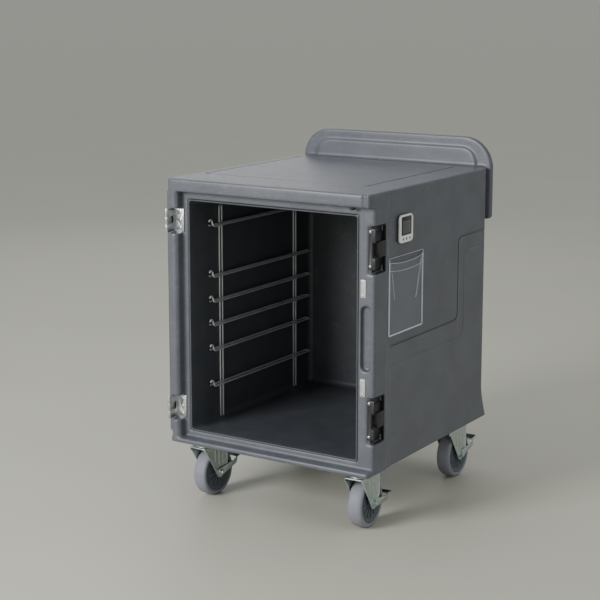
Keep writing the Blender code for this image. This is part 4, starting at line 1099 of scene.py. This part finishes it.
# ---------------------------------------------------------------- thermometer
@dataclass
class Thermometer:
    """The digital thermometer: a body coloured dark grey as painted shade, pale bezel, dark window with its
    field, and three keys.
    """

    edge: float = 3.2
    rim: float = 2.4
    corner: float = 13.0
    bezel: float = 5.2

    def build(self) -> None:
        """Make every piece of the thermometer."""
        low, high = place_of("thermometer_housing")
        window_low, window_high = place_of("thermometer_window")
        flat_low, flat_high = (low.y, low.z), (high.y, high.z)
        seam = high.x - self.bezel
        body = crowned((low.y + 0.8, low.z + 0.8), (high.y - 0.8, high.z - 0.8), 12, low.x, seam, 0.6, Axis.X)
        # The body's dark grey is painted shade for the shadow along the housing's side.
        finished("thermometer_body", body, ABS_PAINTED_SHADE, "cabinet", ["thermometer_housing"])
        rings = [(outline(flat_low, flat_high, self.corner), seam)]
        for step in range(5):
            turn = math.radians(22.5 * step)
            inset = self.edge * (1 - math.cos(turn))
            face = outline((low.y + inset, low.z + inset), (high.y - inset, high.z - inset),
                           self.corner - inset)
            rings.append((face, high.x - self.edge * (1 - math.sin(turn))))
        for grow, depth in ((self.rim, 0.0), (self.rim - 0.8, 0.25), (1.2, 1.4), (0.5, 1.9), (0.3, 3.0)):
            rings.append((outline((window_low.y - grow, window_low.z - grow),
                                  (window_high.y + grow, window_high.z + grow), 3 + grow), high.x - depth))
        holes = []
        for number in (1, 2, 3):
            cap_low, cap_high = place_of(f"thermometer_button_{number}")
            middle = (cap_low + cap_high) / 2
            radius = (cap_high.y - cap_low.y) / 2
            holes.append(turned([(0, 0), (radius + 0.5, 0), (radius + 0.5, 8), (0, 8)],
                                at(seam - 0.4, middle.y, middle.z), Vector((1, 0, 0)), 28))
            cap = [(0, 0), (radius - 0.1, 0), (radius - 0.1, 1.9), (radius * 0.9, 2.4), (radius * 0.68, 2.6),
                   (radius * 0.36, 2.4), (0, 2.3)]
            finished(f"key_{number}", turned(cap, at(cap_low.x, middle.y, middle.z), Vector((1, 0, 0)), 28),
                     HUB, f"button_{number}", [f"thermometer_button_{number}"])
        finished("thermometer_bezel", cut(loft(rings, Axis.X), holes), ABS, "cabinet")
        window = crowned((window_low.y, window_low.z), (window_high.y, window_high.z), 3,
                         window_low.x, window_high.x, 0.7, Axis.X)
        finished("thermometer_display", window, ACRYLIC, "cabinet", ["thermometer_window"])
        wide, tall = window_high.y - window_low.y, window_high.z - window_low.z
        field = crowned((window_low.y + 0.13 * wide, window_low.z + 0.1 * tall),
                        (window_high.y - 0.13 * wide, window_high.z - 0.22 * tall), 1.5, window_high.x - 0.4,
                        window_high.x + 0.1, 0.1, Axis.X, steps=2)
        finished("thermometer_field", field, LCD, "cabinet")
        dress("thermometer_probe", STAINLESS)


# ---------------------------------------------------------------- document sleeve
@dataclass
class Sleeve:
    """The clear document sleeve: a bulged front that is open at its top, welds, edges and screws."""

    bulge: float = 7.0
    sheet: float = 1.0
    mouth_drop: float = 12.0
    sag: float = 9.0
    # Diagonal streaks on the front, as fractions across and up from start to end: painted highlights standing
    # for the sheet's reflections.
    highlight_streaks: tuple[tuple[tuple[float, float], tuple[float, float]], ...] = (
        ((0.94, 0.97), (0.76, 0.46)), ((0.9, 0.97), (0.74, 0.44)), ((0.07, 0.86), (0.14, 0.5)))
    weld: float = 5.0
    columns: int = 36
    rows: int = 30

    def build(self) -> None:
        """Make the sleeve's front, edges, welds and screws."""
        low, high = place_of("document_sleeve")
        finished("sleeve_front", self.front(low, high), PVC, "cabinet", ["document_sleeve"])
        self.welds(low, high)
        self.edges(low, high)
        spots = [(at(low.x + 1.6, y, z), Vector((1, 0, 0)))
                 for y, z in ((low.y + 5, low.z + 7), (low.y + 5, high.z - 8), (high.y - 5, low.z + 7),
                              (high.y - 5, high.z - 8))]
        finished("sleeve_screws", copies(screw_head(3.2, 1.8), spots, STAINLESS), STAINLESS, "cabinet")

    def on_front(self, low: Vector, high: Vector, u: float, v: float) -> Vector:
        """Return a point of the front sheet.

        Args:
            low: The sleeve's lowest corner.
            high: Its highest corner.
            u: How far along the sheet, 0 to 1.
            v: How far up it, 0 to 1.

        Returns:
            The point.
        """
        across = 1 - abs(2 * u - 1) ** 5
        up = min(1.0, v / 0.16)
        up = up * up * (3 - 2 * up)
        wave = 0.35 * math.sin(5.2 * u + 2.0 * v) + 0.3 * math.sin(7.5 * v - 3.0 * u)
        rise = (self.bulge - 1.6 + wave) * across * up
        top = high.z - self.mouth_drop - self.sag * (1 - (2 * u - 1) ** 2)
        return at(low.x + 1.2 + max(rise, 0), low.y + (high.y - low.y) * u, low.z + (top - low.z) * v)

    def edges(self, low: Vector, high: Vector) -> None:
        """Make the near-white wires that catch the light: the outline, the mouth, the front's hem and the
        seams, whose brightness is partly painted highlight, and the diagonal streaks, which are painted
        highlights standing for reflections on the front.
        """
        across = [step / 16 for step in range(17)]
        mouth = [self.on_front(low, high, u, 1.0) for u in across]
        hem = [self.on_front(low, high, u, 0.89) for u in across]
        x = low.x + 1.6
        ring = [at(x, y, z) for y, z in ((low.y + 0.8, low.z + 0.8), (high.y - 0.8, low.z + 0.8),
                                         (high.y - 0.8, high.z - 0.8), (low.y + 0.8, high.z - 0.8))]
        seams = [[at(low.x + 2.4, y, low.z + self.weld), at(low.x + 2.4, y, high.z - self.mouth_drop)]
                 for y in (low.y + self.weld + 1, high.y - self.weld - 4)]
        # The diagonal streaks are painted highlights, drawn as thin near-white wires.
        highlight_streaks = [[self.on_front(low, high, start[0] + (end[0] - start[0]) * t / 8,
                                  start[1] + (end[1] - start[1]) * t / 8) for t in range(9)]
                   for start, end in self.highlight_streaks]
        open_paths = [(path, False) for path in [mouth, hem] + seams]
        thick = wires([(ring, True)] + open_paths, 0.7, 3, PVC_WELD_AND_HIGHLIGHT, 6)
        fine = wires([(streak, False) for streak in highlight_streaks], 0.5, 3, PVC_WELD_AND_HIGHLIGHT, 6)
        finished("sleeve_edges", joined([thick, fine]), PVC_WELD_AND_HIGHLIGHT, "cabinet")

    def front(self, low: Vector, high: Vector) -> bpy.types.Mesh:
        """Return the front sheet, thickened.

        Args:
            low: The sleeve's lowest corner.
            high: Its highest corner.

        Returns:
            The mesh.
        """
        form = bmesh.new()
        grid = []
        for row in range(self.rows + 1):
            v = row / self.rows
            line = []
            for column in range(self.columns + 1):
                u = column / self.columns
                line.append(form.verts.new(self.on_front(low, high, u, v)))
            grid.append(line)
        for first, second in zip(grid, grid[1:]):
            for index in range(self.columns):
                form.faces.new((first[index], first[index + 1], second[index + 1], second[index]))
        mesh = bpy.data.meshes.new("front")
        form.to_mesh(mesh)
        form.free()
        item = temporary(mesh)
        wall = item.modifiers.new("wall", "SOLIDIFY")
        wall.thickness = self.sheet * MM
        wall.offset = 1
        return evaluated(item, "front")

    def welds(self, low: Vector, high: Vector) -> None:
        """Make the welded strips down both sides and along the bottom."""
        top = high.z - self.mouth_drop
        strips = []
        for a, b in (((low.y + 0.5, low.z + 0.5), (low.y + self.weld, top)),
                     ((high.y - self.weld, low.z + 0.5), (high.y - 0.5, top)),
                     ((low.y + 0.5, low.z + 0.5), (high.y - 0.5, low.z + self.weld))):
            strips.append(crowned(a, b, 1.6, low.x + 1.1, low.x + 2.4, 0.6, Axis.X))
        finished("sleeve_welds", joined(strips), PVC_WELD_AND_HIGHLIGHT, "cabinet")


# ---------------------------------------------------------------- wire rails
@dataclass
class Rails:
    """The wire rails on both inner sides: paired uprights and runners with hooked front stops."""

    radius: float = 3.0
    levels: tuple[float, ...] = (120, 235, 315, 390, 470, 630)
    liner_inside: float = 295.7
    floor: float = 231.3
    reach: float = 26.0
    front: float = 126.0
    length: float = 560.0
    hook: float = 24.0
    upright_starts: tuple[float, float] = (184.0, 614.0)
    upright_pair: float = 14.0
    upright_height: float = 690.0

    def build(self) -> None:
        """Make both rail sets."""
        for side in Side:
            name = f"{side.name.lower()}_rail_set"
            mesh = wires(self.paths(side), self.radius, 7, WIRE_STEEL)
            finished(f"{side.name.lower()}_wires", mesh, WIRE_STEEL, "cabinet", [name])

    def paths(self, side: Side) -> list[tuple[list[Vector], bool]]:
        """Return the wires of one side.

        Args:
            side: The side.

        Returns:
            Points of each wire, and whether it is closed.
        """
        sign = side.value
        made = []
        x = sign * (self.liner_inside - self.radius - 0.3)
        bottom = self.floor + 0.3 + self.radius
        top = self.floor + 0.3 + self.upright_height - self.radius
        for y in self.upright_starts:
            far = y + self.upright_pair
            made.append(([at(x, y, bottom), at(x, y, top), at(x, far, top), at(x, far, bottom)], True))
        inner = sign * (self.liner_inside - self.reach)
        outer = sign * (self.liner_inside - 2 * self.radius - 0.3)
        start, rear, hook = self.front, self.front + self.length, self.hook
        for level in self.levels:
            z = self.floor + level
            points = [(outer, start, z), (outer, rear, z), (inner, rear, z), (inner, start, z),
                      (inner, start - hook * 0.25, z + hook * 0.2),
                      (inner, start - hook * 0.5, z + hook * 0.75),
                      (inner, start - hook * 0.8, z + hook), (inner, start - hook * 1.1, z + hook * 0.7)]
            made.append(([at(*point) for point in points], False))
        return made


# ---------------------------------------------------------------- casters
@dataclass
class Caster:
    """One swivel caster: plate and race, pressed fork, axle, soft tread, hub and brake pedal."""

    place: str
    turn: float
    pedal_lift: float
    trail: float = 38.0
    wheel: float = 76.0
    half: float = 23.0
    rim: float = 62.0
    race: float = 30.0
    crown: float = 8.0
    leg_in: float = 27.0
    leg_out: float = 30.0
    leg_ahead: float = 42.0
    leg_behind: float = 38.0
    leg_tip: float = 18.0
    ribs: tuple[tuple[float, float], ...] = ((10.0, -62.0), (30.0, -74.0), (50.0, -74.0))
    rivets: tuple[tuple[float, float], ...] = ((-26.0, -22.0), (66.0, -24.0), (66.0, -70.0))
    foot_start: float = 88.0
    foot_end: float = 122.0
    swivel: Vector = field(default_factory=Vector)

    def __post_init__(self) -> None:
        """Take the swivel's place from the frame."""
        plate_low, plate_high = place_of(f"caster_{self.place}_plate")
        top = place_of(f"caster_{self.place}_fork")[1].z
        self.swivel = Vector(((plate_low.x + plate_high.x) / 2, (plate_low.y + plate_high.y) / 2, top))

    def local(self, x: float, y: float, z: float) -> Vector:
        """Place a point given from the swivel, with Y trailing behind it."""
        turned_point = Matrix.Rotation(math.radians(self.turn), 3, "Z") @ Vector((x, y, z))
        return at(*(self.swivel + turned_point))

    def on_pedal(self, x: float, y: float, z: float) -> Vector:
        """Place a point given from the axle, in the pedal's own frame."""
        lifted = Matrix.Rotation(math.radians(self.pedal_lift), 3, "X") @ Vector((x, y, z))
        return self.local(lifted.x, lifted.y + self.trail, lifted.z + self.axle_z)

    @property
    def axle_z(self) -> float:
        """The axle's height below the swivel."""
        return self.wheel - self.swivel.z

    @property
    def across(self) -> Vector:
        """The axle's direction."""
        return (self.local(1, 0, 0) - self.local(0, 0, 0)).normalized()

    def build(self) -> None:
        """Make every piece of the caster."""
        self.plate()
        self.fork()
        self.axle()
        self.wheel_pieces()
        self.pedal()

    def plate(self) -> None:
        """Make the top plate with its race and four bolts."""
        node = f"caster_{self.place}_plate"
        low, high = place_of(node)
        sheet = crowned((low.x, low.y), (high.x, high.y), 9, high.z, high.z - 4, 1.2, Axis.Z)
        middle = at((low.x + high.x) / 2, (low.y + high.y) / 2, self.swivel.z)
        race = turned([(0, 0.3), (self.race - 3, 0.3), (self.race - 0.5, 1.2), (self.race, 3),
                       (self.race - 0.4, 5), (self.race - 3, 6.4), (self.race - 5, 8), (self.race - 4, 11.8),
                       (self.race, 12.4), (0, 12.4)], middle, Vector((0, 0, 1)), 48)
        spots = [(at((low.x + high.x) / 2 + dx * (high.x - low.x - 20) / 2,
                     (low.y + high.y) / 2 + dy * (high.y - low.y - 22) / 2, high.z - 4), Vector((0, 0, -1)))
                 for dx in (-1, 1) for dy in (-1, 1)]
        finished(f"{self.place}_top_plate", joined([sheet, race]), ZINC, "cabinet", [node])
        finished(f"{self.place}_bolts", copies(hex_head(6.8, 5), spots, ZINC), ZINC, "cabinet")

    def leg(self, side: Side) -> bpy.types.Mesh:
        """Return one pressed side of the fork, with a sunk field that follows its outline.

        Args:
            side: Which side it is.

        Returns:
            The mesh.
        """
        tip = self.leg_tip
        back = self.trail + self.leg_behind
        points = [(-self.leg_ahead, -self.crown), (back, -self.crown), (back, self.axle_z + tip)]
        for step in range(17):
            turn = math.radians(-30 - 130 * step / 16)
            points.append((self.trail + tip * math.cos(turn), self.axle_z + tip * math.sin(turn)))
        sign = side.value
        inner, outer = sign * self.leg_in, sign * self.leg_out
        form = bmesh.new()
        near = [form.verts.new(self.local(inner, y, z)) for y, z in points]
        far = [form.verts.new(self.local(outer, y, z)) for y, z in points]
        form.faces.new(near)
        face = form.faces.new(far)
        for index in range(len(points)):
            after = (index + 1) % len(points)
            form.faces.new((near[index], near[after], far[after], far[index]))
        bmesh.ops.recalc_face_normals(form, faces=form.faces)
        bmesh.ops.inset_region(form, faces=[face], thickness=4.2 * MM, depth=0)
        bmesh.ops.inset_region(form, faces=[face], thickness=1.6 * MM, depth=-1.5 * MM)
        ribs = [crowned((y, low), (y + 7, -18), 3.4, inner, outer, 1.2, Axis.X, where=self.local)
                for y, low in self.ribs]
        boss = turned([(6.3, 0), (15, 0), (15, 2.2), (14, 3), (6.3, 3)],
                      self.local(inner, self.trail, self.axle_z), self.across * sign, 40)
        return joined([eased(to_mesh(form), 0.7), boss] + ribs)

    def fork(self) -> None:
        """Make the fork: two legs, the bridge between them, the crown and its rivets."""
        out, front, back = self.leg_out, -self.leg_ahead, self.trail + self.leg_behind
        bridge = crowned((-out, front), (out, back), 5, -self.crown - 0.6, -self.crown + 3, 1.4, Axis.Z,
                         where=self.local)
        skirt = crowned((-out + 0.2, front), (out - 0.2, back), 5, -self.crown - 9, -self.crown + 2, 1.0,
                        Axis.Z, where=self.local)
        inside = outline((-self.leg_in, front - 10), (self.leg_in, back + 10), 1, 2)
        room = loft([(inside, -self.crown - 12), (inside, -self.crown)], Axis.Z, where=self.local)
        crown = turned([(0, -8), (34, -8), (34, -4.2), (33, -2.2), (31, -0.8), (28, 0), (0, 0)],
                       self.local(0, 0, 0), Vector((0, 0, 1)), 48)
        rivet = turned([(0, 0), (4, 0), (3.6, 0.9), (2.2, 1.5), (0, 1.7)], Vector(), Vector((0, 0, 1)), 16)
        spots = [(self.local(side.value * (self.leg_out - 1.6), y, z), self.across * side.value)
                 for side in Side for y, z in self.rivets]
        rivets = copies(rivet, spots, ZINC)
        mesh = joined([bridge, cut(skirt, [room]), crown, self.leg(Side.LEFT), self.leg(Side.RIGHT), rivets])
        body = f"caster_{self.place}"
        finished(f"{self.place}_pressed_fork", mesh, ZINC, body, [f"caster_{self.place}_fork"])

    def axle(self) -> None:
        """Make the axle bolt with its head, nut and washers."""
        out = self.leg_out
        start = self.local(-out - 3, self.trail, self.axle_z)
        long = 2 * out + 15
        shaft = turned([(0, 0), (6, 0), (6, long - 2), (5, long), (0, long)], start, self.across, 24)
        washers = [turned([(6, 0), (10.6, 0), (10.8, 0.4), (10.6, 0.9), (6, 0.9)],
                          self.local(x, self.trail, self.axle_z), self.across, 32)
                   for x in (-out - 1.4, out + 3.7)]
        heads = copies(hex_head(9, 5), [(self.local(-out - 1.2, self.trail, self.axle_z), -self.across),
                                        (self.local(out + 4.5, self.trail, self.axle_z), self.across)], ZINC)
        finished(f"{self.place}_axle_bolt", joined([shaft, heads] + washers), ZINC, f"caster_{self.place}",
                 [f"caster_{self.place}_axle"])

    def wheel_pieces(self) -> None:
        """Make the soft tread and the hub."""
        centre = self.local(0, self.trail, self.axle_z)
        side = [(self.rim + 0.2, self.half - 2), (self.rim + 1.5, self.half - 0.6), (66, self.half - 0.1),
                (69.4, self.half - 0.5), (72.4, self.half - 2.6), (74.4, self.half - 6.2),
                (75.6, self.half - 11), (self.wheel, self.half - 17), (self.wheel, 0)]
        tread = side + [(radius, -reach) for radius, reach in reversed(side[:-1])]
        body = f"wheel_{self.place}"
        finished(f"{self.place}_soft_tread", turned(tread, centre, self.across, 96), TREAD, body,
                 [f"caster_{self.place}_tread"])
        dish = self.half - 5
        face = [(6.3, self.half + 2), (13.6, self.half + 2), (15, self.half + 1), (17, dish + 1), (19, dish),
                (44, dish), (45, dish + 1.2), (48, dish + 1.2), (49, dish), (53, dish + 0.4),
                (55.6, self.half - 2.4), (58, self.half - 1.8), (self.rim, self.half - 2)]
        hub = face + [(radius, -reach) for radius, reach in reversed(face)]
        ribs = []
        for turn in range(0, 360, 30):
            for sign in (-1, 1):
                ribs.append(self.hub_rib(math.radians(turn), sign * (dish + 3)))
        mesh = joined([turned(hub, centre, self.across, 72)] + ribs)
        finished(f"{self.place}_hub_disc", mesh, HUB, body, [f"caster_{self.place}_hub"])

    def hub_rib(self, turn: float, reach: float) -> bpy.types.Mesh:
        """Return one spoke-like rib on a face of the hub.

        Args:
            turn: Its angle round the axle.
            reach: How far along the axle its crest stands.

        Returns:
            The mesh.
        """
        def place(x: float, along: float, rise: float) -> Vector:
            """Place a point of the rib."""
            y = along * math.cos(turn) - rise * math.sin(turn)
            z = along * math.sin(turn) + rise * math.cos(turn)
            return self.local(x, self.trail + y, self.axle_z + z)

        low = math.copysign(self.half - 6, reach)
        return crowned((16, -1.6), (47, 1.6), 1.4, low, reach, 0.8, Axis.X, where=place, steps=2)

    def pedal(self) -> None:
        """Make the brake pedal: pressed arm, foot plate with a rolled edge, and a ribbed pad."""
        inside, outside = self.leg_out + 0.3, self.leg_out + 3.3
        boss = 13.0
        points = [(boss * math.cos(math.radians(a)), boss * math.sin(math.radians(a)))
                  for a in range(90, 271, 15)]
        first, last = self.foot_start, self.foot_end
        points += [(first - 8, -boss * 0.6), (first + 2, 9.0), (last - 1, 9.0), (last - 1, 11.0),
                   (first - 6, 11.0), (first - 16, boss * 0.6)]
        arm = loft([(points, inside), (points, outside)], Axis.X, where=self.on_pedal)
        foot = crowned((-14, first), (outside - 1.5, last), 4, 9.5, 12, 0.9, Axis.Z, where=self.on_pedal)
        pad = crowned((-12, first + 3), (outside - 5, last - 3), 3, 11.6, 12.4, 0.4, Axis.Z,
                      where=self.on_pedal)
        ribs = [crowned((-11, y), (outside - 6, y + 1.6), 0.7, 12.2, 13.0, 0.3, Axis.Z, where=self.on_pedal,
                        steps=2) for y in range(round(first) + 6, round(last) - 5, 4)]
        body = f"pedal_{self.place}"
        node = f"caster_{self.place}_pedal"
        finished(f"{self.place}_brake_arm", joined([eased(arm, 0.7), foot]), ZINC, body, [node])
        finished(f"{self.place}_brake_pad", joined([pad] + ribs), NYLON, body)


# ---------------------------------------------------------------- floor, light and camera
@dataclass
class Studio:
    """The plain floor, the soft lamps and the camera."""

    eye: Point = (0.0, 0.0, 0.0)
    yaw: float = 32.0
    pitch: float = 9.0
    lens: float = 90.0
    shift: float = -0.08
    reach: float = 500.0
    room: float = 0.62
    aim: Point = (0.0, 0.0, 0.55)

    def build(self) -> None:
        """Make the floor, the lamps and the camera."""
        self.floor()
        self.world()
        self.lamp("key", (-1.6, -4.8, 2.4), size=1.8, power=280)
        self.lamp("top", (-1.2, 0.6, 4.4), size=2.6, power=22)
        self.lamp("fill", (4.8, -0.8, 2.0), size=1.6, power=26)
        self.lamp("back", (-3.4, 3.6, 2.4), size=2.2, power=14)
        self.camera()

    def floor(self) -> None:
        """Make the floor."""
        mesh = bpy.data.meshes.new("studio_floor")
        reach = self.reach
        mesh.from_pydata([(-reach, -reach, 0), (reach, -reach, 0), (reach, reach, 0), (-reach, reach, 0)], [],
                         [(0, 1, 2, 3)])
        mesh.materials.append(material(CONCRETE))
        item = bpy.data.objects.new("studio_floor", mesh)
        bpy.context.scene.collection.objects.link(item)

    def world(self) -> None:
        """Make the even light of the room."""
        world = bpy.data.worlds.new("room")
        world.use_nodes = True
        background = world.node_tree.nodes["Background"]
        background.inputs[0].default_value = linear("eceef0")
        background.inputs[1].default_value = self.room
        bpy.context.scene.world = world

    def lamp(self, name: str, place: Point, size: float, power: float) -> None:
        """Make one soft square lamp aimed at the carrier.

        Args:
            name: Its name.
            place: Where it hangs, in metres.
            size: Its side, in metres.
            power: Its power, in watts.
        """
        light = bpy.data.lights.new(name, "AREA")
        light.size = size
        light.energy = power
        item = bpy.data.objects.new(name, light)
        item.location = place
        item.rotation_euler = (Vector(self.aim) - Vector(place)).to_track_quat("-Z", "Y").to_euler()
        bpy.context.scene.collection.objects.link(item)

    def camera(self) -> None:
        """Make the camera."""
        lens = bpy.data.cameras.new("camera")
        lens.lens = self.lens
        lens.sensor_width = 36
        lens.shift_y = self.shift
        item = bpy.data.objects.new("camera", lens)
        item.location = at(*self.eye)
        item.rotation_euler = (math.radians(90 - self.pitch), 0, math.radians(self.yaw))
        bpy.context.scene.collection.objects.link(item)
        bpy.context.scene.camera = item


STUDIO = Studio(eye=(2459.8, -3659.8, 1606.8), yaw=32.53, pitch=10.06, lens=91.57, shift=-0.08)


def main() -> None:
    """Build every sub-assembly, then the studio."""
    logging.basicConfig(level=logging.INFO, format="%(name)s: %(message)s")
    parts: list[object] = [Cabinet(), DoorwayFittings(), Door(), Hinges(), Latches(), Thermometer(), Sleeve(),
                           Rails()]
    parts += [Caster("front_right", turn=3, pedal_lift=-4), Caster("front_left", turn=-2, pedal_lift=12),
              Caster("rear_right", turn=0, pedal_lift=12), Caster("rear_left", turn=0, pedal_lift=12)]
    for part in parts:
        part.build()
    STUDIO.build()


if __name__ == "__main__":
    main()
